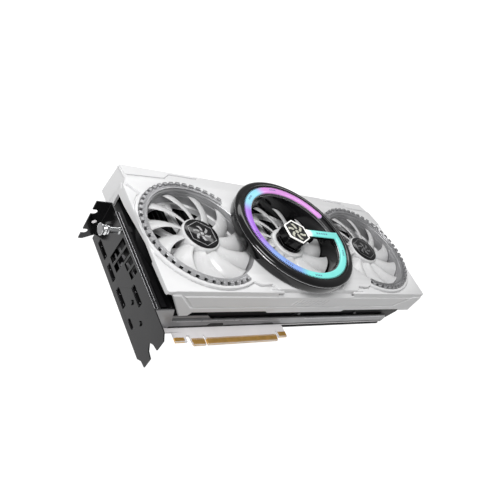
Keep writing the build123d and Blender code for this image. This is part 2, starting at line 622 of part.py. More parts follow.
def socket_shell(y, z, size, depth, tongue):
    """Sheet-metal socket with its contact tongue, opening through the bracket."""
    with BuildSketch(across(SHEET)) as wall:
        with Locations((y, z)):
            RectangleRounded(size[0] + 0.8, size[1] + 0.8, 0.9)
            RectangleRounded(size[0], size[1], 0.8, mode=Mode.SUBTRACT)
    extrude(wall.sketch, amount=depth)
    with BuildSketch(across(SHEET + depth)) as back:
        with Locations((y, z)):
            Rectangle(size[0] + 0.8, size[1] + 0.8)
    extrude(back.sketch, amount=2)
    with BuildSketch(across(SHEET + 2)) as blade_plan:
        with Locations((y, z + 0.3)):
            Rectangle(*tongue)
    extrude(blade_plan.sketch, amount=depth - 2)


with BuildPart() as display_ports:
    for y, z in [(y, PORT_Z) for y in DISPLAY_YS] + [(UPPER_DISPLAY_Y, UPPER_PORT_Z)]:
        socket_shell(y, z, DISPLAY_SIZE, 7, (12.5, 1.6))
save(display_ports, "display_ports")

with BuildPart() as hdmi_port:
    socket_shell(HDMI_Y, PORT_Z, HDMI_SIZE, 7, (11, 1.5))
save(hdmi_port, "hdmi_port")

with BuildPart() as usb_port:
    socket_shell(USB_Y, PORT_Z, USB_SIZE, 7, (6.4, 0.8))
save(usb_port, "usb_port")

with BuildPart() as bracket_screws:
    with BuildSketch(across(-0.9)):
        with Locations((29.5, 14.8), (11.5, 14.8)):
            Circle(1.9)
    extrude(amount=0.9)
save(bracket_screws, "bracket_screws")

# ---- push button on the bracket ---------------------------------------------------------
with BuildPart() as button_neck:
    with BuildSketch(across(-BUTTON_REACH + 3.6)):
        with Locations((BUTTON_Y, BUTTON_Z)):
            Circle(NECK_R)
    extrude(amount=BUTTON_REACH - 3.6)
    with BuildSketch(across(-1.6)):
        with Locations((BUTTON_Y, BUTTON_Z)):
            RegularPolygon(4.0, 6)
    extrude(amount=1.6)
save(button_neck, "button_neck")

with BuildPart() as push_button:
    with BuildSketch(across(-BUTTON_REACH)):
        with Locations((BUTTON_Y, BUTTON_Z)):
            Circle(BUTTON_R)
    extrude(amount=BUTTON_L)
    chamfer(push_button.edges().filter_by(GeomType.CIRCLE), length=0.4)
    with BuildSketch(across(-BUTTON_REACH + 1.2)):
        with Locations((BUTTON_Y, BUTTON_Z)):
            Circle(NECK_R + RUNNING_GAP)
    extrude(amount=BUTTON_L, mode=Mode.SUBTRACT)
save(push_button, "push_button")

with BuildPart() as button_switch:
    block((SHEET, 8.5), (BUTTON_Y - 2.6, BUTTON_Y + 2.6), (BUTTON_Z - 2.6, BUTTON_Z + 2.6))
save(button_switch, "button_switch")
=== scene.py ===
"""Looks of the three-fan graphics card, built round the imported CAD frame.

Shapes are drawn in card coordinates, in millimetres: x from the bracket's outer face, y from the
foot of the gold contacts and z from the back of the board. `at` turns them into the frame's metres.
"""
import json
from math import ceil, cos, degrees, pi, radians, sin, sqrt

import bmesh
import bpy
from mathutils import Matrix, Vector
from mathutils.geometry import tessellate_polygon


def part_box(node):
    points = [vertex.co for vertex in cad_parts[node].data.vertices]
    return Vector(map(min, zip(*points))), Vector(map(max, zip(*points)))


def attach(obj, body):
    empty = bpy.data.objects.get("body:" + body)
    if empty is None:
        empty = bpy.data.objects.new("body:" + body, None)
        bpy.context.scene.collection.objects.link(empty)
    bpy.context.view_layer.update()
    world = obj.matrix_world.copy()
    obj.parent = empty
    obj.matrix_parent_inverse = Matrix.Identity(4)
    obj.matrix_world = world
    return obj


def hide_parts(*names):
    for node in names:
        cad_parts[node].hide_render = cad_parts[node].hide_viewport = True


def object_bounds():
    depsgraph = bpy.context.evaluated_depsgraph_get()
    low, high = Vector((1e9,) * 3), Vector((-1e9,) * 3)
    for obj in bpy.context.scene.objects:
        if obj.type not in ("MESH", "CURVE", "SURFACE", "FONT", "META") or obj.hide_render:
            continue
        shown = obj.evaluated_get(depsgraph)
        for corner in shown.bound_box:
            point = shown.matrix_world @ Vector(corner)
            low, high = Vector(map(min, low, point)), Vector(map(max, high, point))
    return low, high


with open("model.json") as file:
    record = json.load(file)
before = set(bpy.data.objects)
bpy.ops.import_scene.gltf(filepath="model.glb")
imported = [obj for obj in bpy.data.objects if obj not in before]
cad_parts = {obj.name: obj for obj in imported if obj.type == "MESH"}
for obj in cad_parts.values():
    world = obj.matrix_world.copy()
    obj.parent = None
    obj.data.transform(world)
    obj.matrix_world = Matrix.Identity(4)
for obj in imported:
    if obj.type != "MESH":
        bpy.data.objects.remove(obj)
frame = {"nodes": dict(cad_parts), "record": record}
CAD_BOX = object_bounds()

# ---- card coordinates -------------------------------------------------------------------
MM = 0.001
BOARD_HEAD_X = 2.0                 # the board starts this far behind the bracket's outer face
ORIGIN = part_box("circuit_board")[0] - Vector((BOARD_HEAD_X, 0, 0)) * MM


def at(x, y, z):
    """Card coordinates as a point of the frame."""
    return ORIGIN + Vector((x, y, z)) * MM


def span(node):
    """Lowest and highest corner of a CAD node, in card coordinates."""
    low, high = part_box(node)
    return (low - ORIGIN) / MM, (high - ORIGIN) / MM


def middle(node):
    low, high = span(node)
    return (low + high) / 2


SIDES = ("left", "centre", "right")
FANS = {side: middle(f"fan_shaft_{side}") for side in SIDES}
FAN_Y = FANS["centre"].y
RING_X = FANS["centre"].x
CENTRES = {side: (FANS[side].x, FAN_Y) for side in SIDES}
SHROUD_LOW, SHROUD_HIGH = span("shroud")
HEAD_X, LOW_Y, SKIRT_Z = SHROUD_LOW
TAIL_X, TOP_Y, FACE_Z = SHROUD_HIGH
BOARD_T = span("circuit_board")[1].z

# ---- sizes shared with the CAD model, mm ------------------------------------------------
DUCT_R, DUCT_FOOT = 45.3, 30.2
BLADE_COUNT, BLADE_R, HUB_R = 11, 44.6, 16.4
BLADE_PHASE = 16.5
HUB_TOP, HUB_FOOT = 42.0, 30.6
TOOTHED_IN, TOOTHED_ROOT, TOOTHED_TIP = 46.2, 50.3, 52.3
TOOTH_COUNT, TOOTH_W = 50, 3.8
GAPS = {"left": (-61.0, 46.0), "right": (134.0, 241.0)}
RING_R, RING_SPLIT_Z, RING_TOP_Z = 60.5, 52.7, 56.5
LIGHT_IN, LIGHT_OUT, LIGHT_Z = 46.4, 53.0, 56.0
LIGHT_START, LIGHT_END = 30.0, 364.0
HEXAGON_R, ARM_W = 14.0, 6.8


# ---- outlines ---------------------------------------------------------------------------
def polar(centre, radius, angle):
    return (centre[0] + radius * cos(radians(angle)), centre[1] + radius * sin(radians(angle)))


def arc(centre, radius, start, end, chord=1.4):
    """Points along an arc, in the order from start to end."""
    count = max(3, ceil(abs(radians(end - start)) * radius / chord))
    return [polar(centre, radius, start + (end - start) * i / count) for i in range(count + 1)]


def circle(centre, radius, chord=1.4):
    return arc(centre, radius, 0, 360, chord)[:-1]


def band(centre, inner, outer, start, end, chord=1.4):
    """Outline of a piece of a flat ring."""
    return arc(centre, outer, start, end, chord) + arc(centre, inner, end, start, chord)


def rectangle(u, v):
    return [(u[0], v[0]), (u[1], v[0]), (u[1], v[1]), (u[0], v[1])]


def centred(u, v, length, height):
    """A rectangle round its middle."""
    return rectangle((u - length / 2, u + length / 2), (v - height / 2, v + height / 2))


def hexagon(centre, radius):
    return [polar(centre, radius, 90 + 60 * i) for i in range(6)]


def soften(points, radius, steps=4):
    """The outline with its corners rounded."""
    out = []
    for i, corner in enumerate(points):
        p = Vector(corner)
        before, after = Vector(points[i - 1]) - p, Vector(points[(i + 1) % len(points)]) - p
        reach = min(radius, 0.45 * before.length, 0.45 * after.length)
        a, b = p + before.normalized() * reach, p + after.normalized() * reach
        for k in range(steps + 1):
            t = k / steps
            out.append(tuple(a * (1 - t) ** 2 + p * 2 * t * (1 - t) + b * t * t))
    return out


def signed_area(loop):
    return sum(a[0] * b[1] - b[0] * a[1] for a, b in zip(loop, loop[1:] + loop[:1])) / 2


def inset_loop(loop, inset):
    """The loop moved to its left, with mitred corners."""
    out = []
    for i, point in enumerate(loop):
        p = Vector(point)
        before = (p - Vector(loop[i - 1])).normalized()
        after = (Vector(loop[(i + 1) % len(loop)]) - p).normalized()
        left_a, left_b = Vector((-before.y, before.x)), Vector((-after.y, after.x))
        mitre = left_a + left_b
        mitre = mitre.normalized() if mitre.length > 1e-6 else left_a
        out.append(tuple(p + mitre * (inset / max(0.35, mitre.dot(left_a)))))
    return out


# ---- planes that outlines are drawn on --------------------------------------------------
def level(u, v, w):
    return (u, v, w)


def along(u, v, w):
    """u is x, v is z, w is y."""
    return (u, w, v)


def across(u, v, w):
    """u is y, v is z, w is x."""
    return (w, u, v)


# ---- shapes -----------------------------------------------------------------------------
class Shape:
    """Closed shells in card coordinates, gathered into one piece."""

    def __init__(self):
        self.verts, self.faces = [], []

    def shell(self, verts, faces):
        base = len(self.verts)
        self.verts += [tuple(v) for v in verts]
        self.faces += [tuple(base + i for i in face) for face in faces]
        return self

    def plate(self, loops, low, high, plane=level, edge=(0.0, 0.0), steps=1):
        """An outline with holes, given a thickness and rounded edges below and above.

        Each edge size is one number, or one for each loop.
        """
        turned = [loop[::-1] if (signed_area(loop) < 0) != (i > 0) else loop for i, loop in enumerate(loops)]
        below, above = ([e] * len(loops) if isinstance(e, (int, float)) else e for e in edge)
        turns = [k / steps * pi / 2 for k in range(steps + 1)]
        rings = [[(low + e * (1 - cos(t)), e * (1 - sin(t))) for e in below] for t in turns]
        rings += [[(high - e * (1 - sin(t)), e * (1 - cos(t))) for e in above] for t in turns]
        if not any(below):
            rings = rings[steps:]
        if not any(above):
            rings = rings[:-steps]
        verts, faces = [], []
        for ring in rings:
            for loop, (w, inset) in zip(turned, ring):
                verts += [plane(u, v, w) for u, v in (inset_loop(loop, inset) if inset else loop)]
        size = sum(len(loop) for loop in turned)
        for ring in range(len(rings) - 1):
            start = ring * size
            for loop in turned:
                count = len(loop)
                for i in range(count):
                    a, b = start + i, start + (i + 1) % count
                    faces.append((a, b, b + size, a + size))
                start += count
        for ring in (0, len(rings) - 1):
            caps = [[(u, v, 0) for u, v in (inset_loop(loop, inset) if inset else loop)]
                    for loop, (_, inset) in zip(turned, rings[ring])]
            faces += [tuple(ring * size + i for i in triangle) for triangle in tessellate_polygon(caps)]
        return self.shell(verts, faces)

    def lathe(self, profile, centre, start=0.0, end=360.0, chord=1.4):
        """A closed profile of (radius, height) turned about an upright axis."""
        whole = end - start >= 360
        widest = max(r for r, _ in profile)
        count = max(12, ceil(radians(end - start) * widest / chord))
        angles = [start + (end - start) * i / count for i in range(count if whole else count + 1)]
        sections = [[(*polar(centre, r, angle), z) for r, z in profile] for angle in angles]
        return self.loft(sections, whole, [(r, z, 0) for r, z in profile])

    def loft(self, sections, closed=False, outline=None):
        """Rings of points, all of one length, joined in turn and capped at both ends.

        With an outline, which need not be convex, the caps are cut into triangles.
        """
        size, last = len(sections[0]), len(sections) - 1
        verts = [point for section in sections for point in section]
        faces = []
        for ring in range(last + closed):
            nxt = (ring + 1) % len(sections)
            for i in range(size):
                j = (i + 1) % size
                faces.append((ring * size + i, ring * size + j, nxt * size + j, nxt * size + i))
        if not closed:
            caps = tessellate_polygon([outline]) if outline else [range(size)]
            faces += [tuple(ring * size + i for i in cap) for ring in (0, last) for cap in caps]
        return self.shell(verts, faces)

    def ribbon(self, posts, thickness):
        """An open wall: each post gives its foot and its head, and the thickness lies to the left."""
        verts, faces = [], []
        for level_points in ([foot for foot, _ in posts], [head for _, head in posts]):
            ways = [Vector(b[:2]) - Vector(a[:2]) for a, b in zip(level_points, level_points[1:])]
            lefts = [Vector((-way.y, way.x)).normalized() for way in ways]
            for i, point in enumerate(level_points):
                sides = lefts[max(0, i - 1):i + 1] if i < len(lefts) else lefts[-1:]
                mitre = sum(sides, Vector((0, 0))).normalized()
                mitre *= thickness / max(0.4, mitre.dot(sides[0]))
                verts += [tuple(point), (point[0] + mitre.x, point[1] + mitre.y, point[2])]
        head = 2 * len(posts)
        corners = (0, 1, head + 1, head)
        for step in range(0, head - 2, 2):
            for a, b in zip(corners, corners[1:] + corners[:1]):
                faces.append((a + step, a + step + 2, b + step + 2, b + step))
        faces += [tuple(corner + step for corner in corners) for step in (0, head - 2)]
        return self.shell(verts, faces)

    def hull(self, points):
        """The smallest convex solid round some points."""
        work = bmesh.new()
        for point in points:
            work.verts.new(point)
        made = bmesh.ops.convex_hull(work, input=work.verts)
        loose = [v for v in made["geom_interior"] + made["geom_unused"] if isinstance(v, bmesh.types.BMVert)]
        bmesh.ops.delete(work, geom=loose, context="VERTS")
        bmesh.ops.dissolve_limit(work, angle_limit=0.01, verts=work.verts, edges=work.edges)
        work.verts.index_update()
        verts = [tuple(v.co) for v in work.verts]
        faces = [tuple(v.index for v in face.verts) for face in work.faces]
        work.free()
        return self.shell(verts, faces)

    def turned(self, centre, angle):
        """The shape turned about an upright axis."""
        c, s = cos(radians(angle)), sin(radians(angle))
        out = Shape()
        for x, y, z in self.verts:
            dx, dy = x - centre[0], y - centre[1]
            out.verts.append((centre[0] + c * dx - s * dy, centre[1] + s * dx + c * dy, z))
        out.faces = list(self.faces)
        return out

    def join(self, other):
        return self.shell(other.verts, other.faces)

    def piece(self, name, finish, body="card", slot=None, replaces=(), crease=35.0):
        """Makes the Blender object, riding on its body. The slot argument is not used."""
        mesh = bpy.data.meshes.new(name)
        mesh.from_pydata([at(*v) for v in self.verts], [], self.faces)
        mesh.validate()
        mesh.polygons.foreach_set("use_smooth", [True] * len(mesh.polygons))
        turn_faces_outwards(mesh)
        mesh.set_sharp_from_angle(angle=radians(crease))
        mesh.materials.append(MATERIALS[finish])
        obj = bpy.data.objects.new(name, mesh)
        bpy.context.scene.collection.objects.link(obj)
        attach(obj, body)
        if replaces:
            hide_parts(*replaces)

    def stand_in(self, node, finish, body="card", crease=35.0):
        """The piece shown in place of a CAD node."""
        self.piece(f"{node}_detail", finish, body, replaces=[node], crease=crease)


def turn_faces_outwards(mesh):
    work = bmesh.new()
    work.from_mesh(mesh)
    bmesh.ops.recalc_face_normals(work, faces=work.faces)
    work.to_mesh(mesh)
    work.free()


# ---- materials --------------------------------------------------------------------------
def put(node, values):
    """Sets inputs of a node that nothing is linked to."""
    for name, value in values.items():
        node.inputs[name].default_value = value


class Tree:
    """The shader nodes of a material or of the world."""

    def __init__(self, owner):
        owner.use_nodes = True
        self.nodes, self.links = owner.node_tree.nodes, owner.node_tree.links

    def add(self, kind, sources=None, values=None, operation=None):
        """A node with its links in and its constants."""
        node = self.nodes.new("ShaderNode" + kind)
        if operation:
            node.operation = operation
        for name, socket in (sources or {}).items():
            self.links.new(socket, node.inputs[name])
        put(node, values or {})
        return node

    def map_range(self, value, start, end, low=0.0, high=1.0):
        return self.add("MapRange", {"Value": value}, {
            "From Min": start, "From Max": end, "To Min": low, "To Max": high}).outputs["Result"]

    def noise(self, place, scale, low, high, detail=3.0):
        """A noise, and its value fitted between low and high."""
        grain = self.add("TexNoise", {"Vector": place}, {"Scale": scale, "Detail": detail}).outputs["Fac"]
        return grain, self.map_range(grain, 0.3, 0.7, low, high)


def new_material(name):
    """A material with its shader tree, its main shader and object coordinates ready."""
    mat = bpy.data.materials.new(name)
    tree = Tree(mat)
    return mat, tree, tree.nodes["Principled BSDF"], tree.add("TexCoord").outputs["Object"]


def finish_material(name, color, rough, metal=0.0, vary=0.04, cloud=60.0, grain=2500.0, bump=0.02,
                    coat=0.0, coat_rough=0.05, specular=0.5, spread=0.06, glow_through=0.0):
    """A moulded, plated or painted surface: cloudy colour, uneven gloss and fine surface grain."""
    mat, tree, shader, place = new_material(name)
    clouds, _ = tree.noise(place, cloud, 0, 1)
    ramp = tree.add("ValToRGB", {"Fac": clouds})
    for element, position, share in zip(ramp.color_ramp.elements, (0.35, 0.65), (1 - vary, 1 + vary)):
        element.position = position
        element.color = (*(min(1.0, max(0.0, c * share)) for c in color), 1)
    tree.links.new(ramp.outputs["Color"], shader.inputs["Base Color"])
    _, gloss = tree.noise(place, cloud * 3.1, max(0.02, rough - spread), min(1, rough + spread))
    tree.links.new(gloss, shader.inputs["Roughness"])
    put(shader, {"Metallic": metal, "Specular IOR Level": specular, "Coat Weight": coat,
                 "Coat Roughness": coat_rough})
    if glow_through:
        put(shader, {"Subsurface Weight": glow_through, "Subsurface Radius": (1, 1, 1),
                     "Subsurface Scale": 0.004})
    fine, _ = tree.noise(place, grain, 0, 1, detail=2.0)
    ridge = tree.add("Bump", {"Height": fine}, {"Strength": bump, "Distance": 0.0001})
    tree.links.new(ridge.outputs["Normal"], shader.inputs["Normal"])
    return mat


VIOLET, BLUE, MINT = (0.27, 0.105, 0.50), (0.15, 0.25, 0.54), (0.15, 0.54, 0.50)
PINK, ICE = (0.51, 0.22, 0.54), (0.20, 0.48, 0.60)
BAND_COLORS = [(-180, VIOLET), (-168, VIOLET), (-146, BLUE), (-118, BLUE), (-106, MINT), (24, MINT),
               (28, PINK), (106, PINK), (118, ICE), (145, ICE), (158, VIOLET), (180, VIOLET)]


def light_band_material():
    """Pastel light guide: the colour goes round the ring and turns white towards the hexagon."""
    mat, tree, shader, place = new_material("light_band")
    shift = tree.add("VectorMath", {0: place}, {1: at(RING_X, FAN_Y, 0)}, "SUBTRACT")
    split = tree.add("SeparateXYZ", {"Vector": shift.outputs["Vector"]})
    x, y = split.outputs["X"], split.outputs["Y"]
    angle = tree.add("Math", {0: y, 1: x}, operation="ARCTAN2").outputs["Value"]
    ramp = tree.add("ValToRGB", {"Fac": tree.map_range(angle, -pi, pi)})
    elements = ramp.color_ramp.elements
    while len(elements) < len(BAND_COLORS):
        elements.new(0.5)
    for element, (degree, _) in zip(elements, BAND_COLORS):
        element.position = (degree + 180) / 360
    for element, (_, color) in zip(elements, BAND_COLORS):
        element.color = (*color, 1)
    flat = tree.add("CombineXYZ", {"X": x, "Y": y}).outputs["Vector"]
    reach = tree.add("VectorMath", {0: flat}, operation="LENGTH").outputs["Value"]
    mix = tree.add("Mix")
    mix.data_type = "RGBA"
    put(mix, {"A": (1.0, 0.97, 0.9, 1)})
    tree.links.new(tree.map_range(reach, 0.0135, 0.019), mix.inputs["Factor"])
    tree.links.new(ramp.outputs["Color"], mix.inputs["B"])
    _, glow = tree.noise(place, 90.0, 0.60, 0.72)
    for socket, name in ((mix.outputs["Result"], "Base Color"), (mix.outputs["Result"], "Emission Color"),
                         (glow, "Emission Strength")):
        tree.links.new(socket, shader.inputs[name])
    put(shader, {"Roughness": 0.25})
    return mat


def white_light_material():
    mat, tree, shader, place = new_material("white_light")
    _, glow = tree.noise(place, 120.0, 0.35, 0.45)
    tree.links.new(glow, shader.inputs["Emission Strength"])
    put(shader, {"Base Color": (0.9, 0.9, 0.88, 1), "Emission Color": (1.0, 0.98, 0.94, 1), "Roughness": 0.3})
    return mat


# the slots of the record, then the finishes of details
FINISHES = {
    "white_shell": dict(color=(0.80, 0.80, 0.805), rough=0.36, vary=0.012, bump=0.05, spread=0.05),
    "white_fan": dict(color=(0.76, 0.76, 0.765), rough=0.24, vary=0.015, coat=0.2, coat_rough=0.12,
                      glow_through=0.6),
    "silver_tooth": dict(color=(0.42, 0.42, 0.43), rough=0.34, metal=0.82, vary=0.05, bump=0.03),
    "silver_trim": dict(color=(0.55, 0.55, 0.56), rough=0.22, metal=1, vary=0.05),
    "black_gloss": dict(color=(0.006, 0.006, 0.0065), rough=0.12, vary=0.3, bump=0.01, spread=0.03,
                        coat=0.35, coat_rough=0.03, specular=0.25),
    "black_matte": dict(color=(0.014, 0.014, 0.015), rough=0.5, vary=0.25, bump=0.25, specular=0.2),
    "badge": dict(color=(0.006, 0.006, 0.007), rough=0.16, vary=0.3, bump=0.01, coat=0.3, specular=0.2),
    "steel": dict(color=(0.55, 0.55, 0.57), rough=0.3, metal=1, vary=0.06, bump=0.1),
    "brass": dict(color=(0.60, 0.42, 0.16), rough=0.35, metal=1, vary=0.1),
    "copper": dict(color=(0.62, 0.27, 0.14), rough=0.32, metal=1, vary=0.12),
    "nickel": dict(color=(0.22, 0.22, 0.225), rough=0.30, metal=1, vary=0.08, bump=0.05),
    "fins": dict(color=(0.010, 0.010, 0.011), rough=0.45, vary=0.2, bump=0.1, specular=0.15),
    "frame_grey": dict(color=(0.235, 0.235, 0.24), rough=0.34, metal=0.6, vary=0.08, bump=0.2),
    "board_white": dict(color=(0.72, 0.70, 0.71), rough=0.34, vary=0.03, bump=0.06),
    "gold": dict(color=(0.68, 0.39, 0.105), rough=0.42, metal=0.75, vary=0.10, cloud=200.0),
    "chip_black": dict(color=(0.02, 0.02, 0.021), rough=0.5, vary=0.2, bump=0.3),
    "package_green": dict(color=(0.02, 0.07, 0.04), rough=0.4, vary=0.1),
    "silicon": dict(color=(0.25, 0.26, 0.30), rough=0.12, metal=1, vary=0.05),
    "grey_ferrite": dict(color=(0.06, 0.06, 0.065), rough=0.5, vary=0.15, bump=0.3),
    "can_silver": dict(color=(0.6, 0.6, 0.62), rough=0.3, metal=1, vary=0.05),
    "pad": dict(color=(0.2, 0.24, 0.28), rough=0.8, vary=0.1, bump=0.4),
    "bracket_dark": dict(color=(0.041, 0.041, 0.042), rough=0.17, metal=1, spread=0.04),
    "back_metal": dict(color=(0.012, 0.012, 0.013), rough=0.38, metal=0.2, vary=0.12, bump=0.15,
                       specular=0.2),
    "chrome_button": dict(color=(0.70, 0.71, 0.72), rough=0.09, metal=1, spread=0.04),
    "button_face": dict(color=(0.22, 0.22, 0.225), rough=0.35, metal=0.6, vary=0.05),
    "silver_duct": dict(color=(0.48, 0.48, 0.49), rough=0.42, metal=0.7, vary=0.05, bump=0.05),
    "hub_silver": dict(color=(0.30, 0.30, 0.305), rough=0.3, metal=0.8, vary=0.08),
    "emblem": dict(color=(0.60, 0.60, 0.50), rough=0.35, metal=0.3, vary=0.1),
    "dash": dict(color=(0.10, 0.16, 0.30), rough=0.4, vary=0.05),
    # darker grey: painted shade beside the louvre slats
    "louvre_painted_shade": dict(color=(0.40, 0.40, 0.41), rough=0.5, vary=0.03),
    "gold_edge": dict(color=(0.72, 0.47, 0.17), rough=0.40, metal=0.5, vary=0.08, cloud=200.0),
    "port_black": dict(color=(0.006, 0.006, 0.0065), rough=0.35, vary=0.2, bump=0.05, specular=0.3),
    # darker than the bracket metal: painted shade on the bracket's fold; also the darker patches behind the
    # vents
    "fold_dark": dict(color=(0.014, 0.014, 0.015), rough=0.6, vary=0.1, specular=0.1),
    "vent_grey": dict(color=(0.16, 0.16, 0.165), rough=0.35, metal=0.3, vary=0.1),
}
MATERIALS = {name: finish_material(name, **values) for name, values in FINISHES.items()}
MATERIALS["light_band"] = light_band_material()
MATERIALS["white_light"] = white_light_material()
RECORD_SLOTS = {part["node"]: part["material_slot"] for part in frame["record"]["subparts"]}


def dress_cad_nodes():
    """Every CAD node gets the finish of its slot."""
    for node, obj in frame["nodes"].items():
        obj.data.materials.clear()
        obj.data.materials.append(MATERIALS[RECORD_SLOTS[node]])


# ---- shroud -----------------------------------------------------------------------------
MIDDLE_X = (FANS["left"].x + FANS["right"].x) / 2      # the shroud's face is the same on both sides of this
CORNER_Z = FACE_Z - 1.7            # the corner plates lie lower than the middle of the face
COLLAR_R = 54.9                    # white collar round the toothed rings
WALL_Y = LOW_Y + 1.0               # base of the layered long wall
RECESS_Y = LOW_Y + 3.2             # the wall steps in under the centre ring
TOP_LEDGE_Z, PANEL_TOP_Z, PANEL_LOW_Z = 39.6, 37.0, 24.2


def clamped(loop, margin):
    """The loop kept between the shroud's two ends, that far inside them."""
    return [(min(max(x, HEAD_X + margin), TAIL_X - margin), y) for x, y in loop]


def mirrored(loop):
    """The loop on the other side of the shroud's middle."""
    return [(2 * MIDDLE_X - x, y) for x, y in reversed(loop)]


def fan_hole(side):
    """Hole in the face: wide where the toothed ring sits, narrow across its gap."""
    centre, (start, end) = CENTRES[side], GAPS[side]
    hole = arc(centre, TOOTHED_TIP + 0.3, end, start + 360) + arc(centre, TOOTHED_IN, start, end)
    return clamped(hole, 0.4)


def middle_plate_outline():
    """The raised middle of the face, with the collars round the toothed rings."""
    left = CENTRES["left"]
    step = [(22.4, 110.4)] + arc(left, COLLAR_R, 141, 300) + [(96.7, 24.5), (109.4, 25.3), (114.0, RECESS_Y)]
    return clamped(step + mirrored(step), -0.03) + [
        (TAIL_X, TOP_Y - 27), (TAIL_X - 5.2, TOP_Y - 9.8), (272.2, 131.1), (266.0, 136.4), (240.2, 136.4),
        (236.0, TOP_Y), (88.5, TOP_Y), (82.9, 136.4), (57.1, 136.4), (50.9, 131.1), (15.6, 128.6),
        (12.4, 120.6),
    ]


def corner_plate_outline(inset):
    """The lower plate at the bracket end; the inset leaves a groove beside the collar and the step."""
    end_x = HEAD_X - (0.05 if inset > 0 else -0.4)
    wall_y = WALL_Y + end_x - HEAD_X
    collar = arc(CENTRES["left"], COLLAR_R + 0.9 * inset, 300, 141)
    return [(23.4 - inset, 111.6 - inset), (HEAD_X + 1.8 - 0.4 * inset, 121.0 - inset),
            (end_x + 0.4, 119.6 - inset), (end_x, 118.4 - inset), (end_x, LOW_Y + 1.9), (end_x + 1.0, wall_y),
            (118.5, wall_y), (118.5, RECESS_Y - 0.1), (114.0 - inset, RECESS_Y - 0.1),
            (109.6 - 0.7 * inset, 25.4 - inset), (96.9 - 0.5 * inset, 24.6 - inset),
            *clamped(collar, 0.5 + end_x - HEAD_X)]


def make_shroud_face():
    shape = Shape()
    holes = [fan_hole("left"), circle(CENTRES["centre"], DUCT_R + 2.3), fan_hole("right")]
    shape.plate([middle_plate_outline(), *holes], CORNER_Z - 0.9, FACE_Z, edge=(0.0, [0.3, 0.25, 0.25, 0.25]),
                steps=2)
    top, bottom = corner_plate_outline(1.4), corner_plate_outline(-0.8)
    for outline, floor in ((top, bottom), (mirrored(top), mirrored(bottom))):
        shape.plate([[(min(x, TAIL_X + 0.05), y) for x, y in outline]], CORNER_Z - 1.5, CORNER_Z,
                    edge=(0.0, 0.25), steps=2)
        shape.plate([[(min(x, TAIL_X - 0.4), y) for x, y in floor]], CORNER_Z - 2.2, CORNER_Z - 1.3)
    facets = (
        [(15.3, 129.6), (13.9, TOP_Y), (86.6, TOP_Y), (82.2, 137.4), (56.7, 137.4), (50.5, 132.1)],
        [(238.0, TOP_Y), (299.0, TOP_Y), (303.4, TOP_Y - 7.5), (304.6, 130.9), (272.8, 132.1), (266.4, 137.4),
         (241.0, 137.4)],
    )
    floor_y = TOP_Y - 0.1
    floors = (
        [(14.6, 127.5), (13.2, floor_y), (90.0, floor_y), (84.0, 135.0), (59.0, 135.0), (52.0, 130.0)],
        [(235.0, floor_y), (299.0, floor_y), (303.4, TOP_Y - 7.7), (305.5, 129.5), (271.0, 129.5),
         (264.0, 135.0), (240.0, 135.0)],
    )
    for facet, floor in zip(facets, floors):
        shape.plate([facet], CORNER_Z - 0.6, FACE_Z, edge=(0.0, 0.2))
        shape.plate([floor], CORNER_Z - 0.6, FACE_Z - 1.3)
    for side in ("left", "right"):
        start, end = GAPS[side][1], GAPS[side][0] + 360
        reach = min(TOOTHED_TIP + 0.5, TAIL_X - FANS[side].x - 0.1)
        seat = rectangle((reach, TOOTHED_IN + 0.2), (CORNER_Z - 0.9, CORNER_Z - 0.3))
        shape.lathe(seat, CENTRES[side], start, end)
    shape.piece("shroud_face", "white_shell", replaces=["shroud"])


def post(x, y, low, high, top_x=None):
    return (x, y, low), (x if top_x is None else top_x, y, high)


def make_shroud_ends():
    """Walls of the tail, the far side and the bracket end, in one run."""
    face, corner = FACE_Z - 0.6, CORNER_Z - 0.2
    tail = [
        post(TAIL_X - 0.9, WALL_Y, 17.0, corner), post(TAIL_X, WALL_Y + 0.9, 17.0, corner),
        post(TAIL_X, TOP_Y - 27, SKIRT_Z, face), post(TAIL_X - 5.5, TOP_Y - 9, SKIRT_Z, face),
        post(TAIL_X - 8.5, TOP_Y - 7.5, SKIRT_Z, face), post(TAIL_X - 13.5, TOP_Y, SKIRT_Z, face),
    ]
    raked = [post(HEAD_X, y, SKIRT_Z, face, HEAD_X + lean)
             for y, lean in ((TOP_Y, 3.0), (128.4, 4.3), (123.3, 2.4), (123.1, 2.0), (120.6, 1.2))]
    lower_edge = [post(HEAD_X, y, z, corner) for y, z in (
        (118.5, SKIRT_Z), (118.4, 33.0), (105.0, 33.6), (63.0, 39.6), (46.6, 39.0), (45.8, 37.6),
        (36.0, 37.9), (LOW_Y + 1.9, 38.3))]
    posts = tail + raked + lower_edge + [post(HEAD_X + 1.0, WALL_Y, 38.3, corner)]
    shape = Shape()
    shape.ribbon(posts, 2.0)
    far_panel = [(40, 37), (54, 24), (150, 24), (158, 20), (196, 20), (204, 24), (270, 24), (284, 37)]
    shape.plate([far_panel], TOP_Y - 0.4, TOP_Y + 0.05, along)
    border = [(118.6, 15.2), (122.6, 15.2), (122.6, 41.0), (118.6, 38.0)]
    shape.plate([border], HEAD_X, HEAD_X + 0.6, across)
    shape.piece("shroud_ends", "white_shell")
    slots = Shape()
    for i in range(-4, 5):
        x = (HEAD_X + TAIL_X) / 2 + 24 * i
        slots.plate([soften(centred(x, 30, 16, 5), 2.4, 6)], TOP_Y - 0.4, TOP_Y + 0.08, along)
    slots.piece("far_wall_slots", "port_black", slot="white_shell")


RAKE = [(13.4, 42.0), (33.0, 14.7), (40.5, 14.7), (42.8, 18.5)]
LOWER_EDGE = [(114.0, 18.5), (117.0, 16.4), (207.0, 16.4), (209.5, 18.5), (293.5, 18.5), (295.5, 17.0),
              (TAIL_X - 0.6, 17.0)]


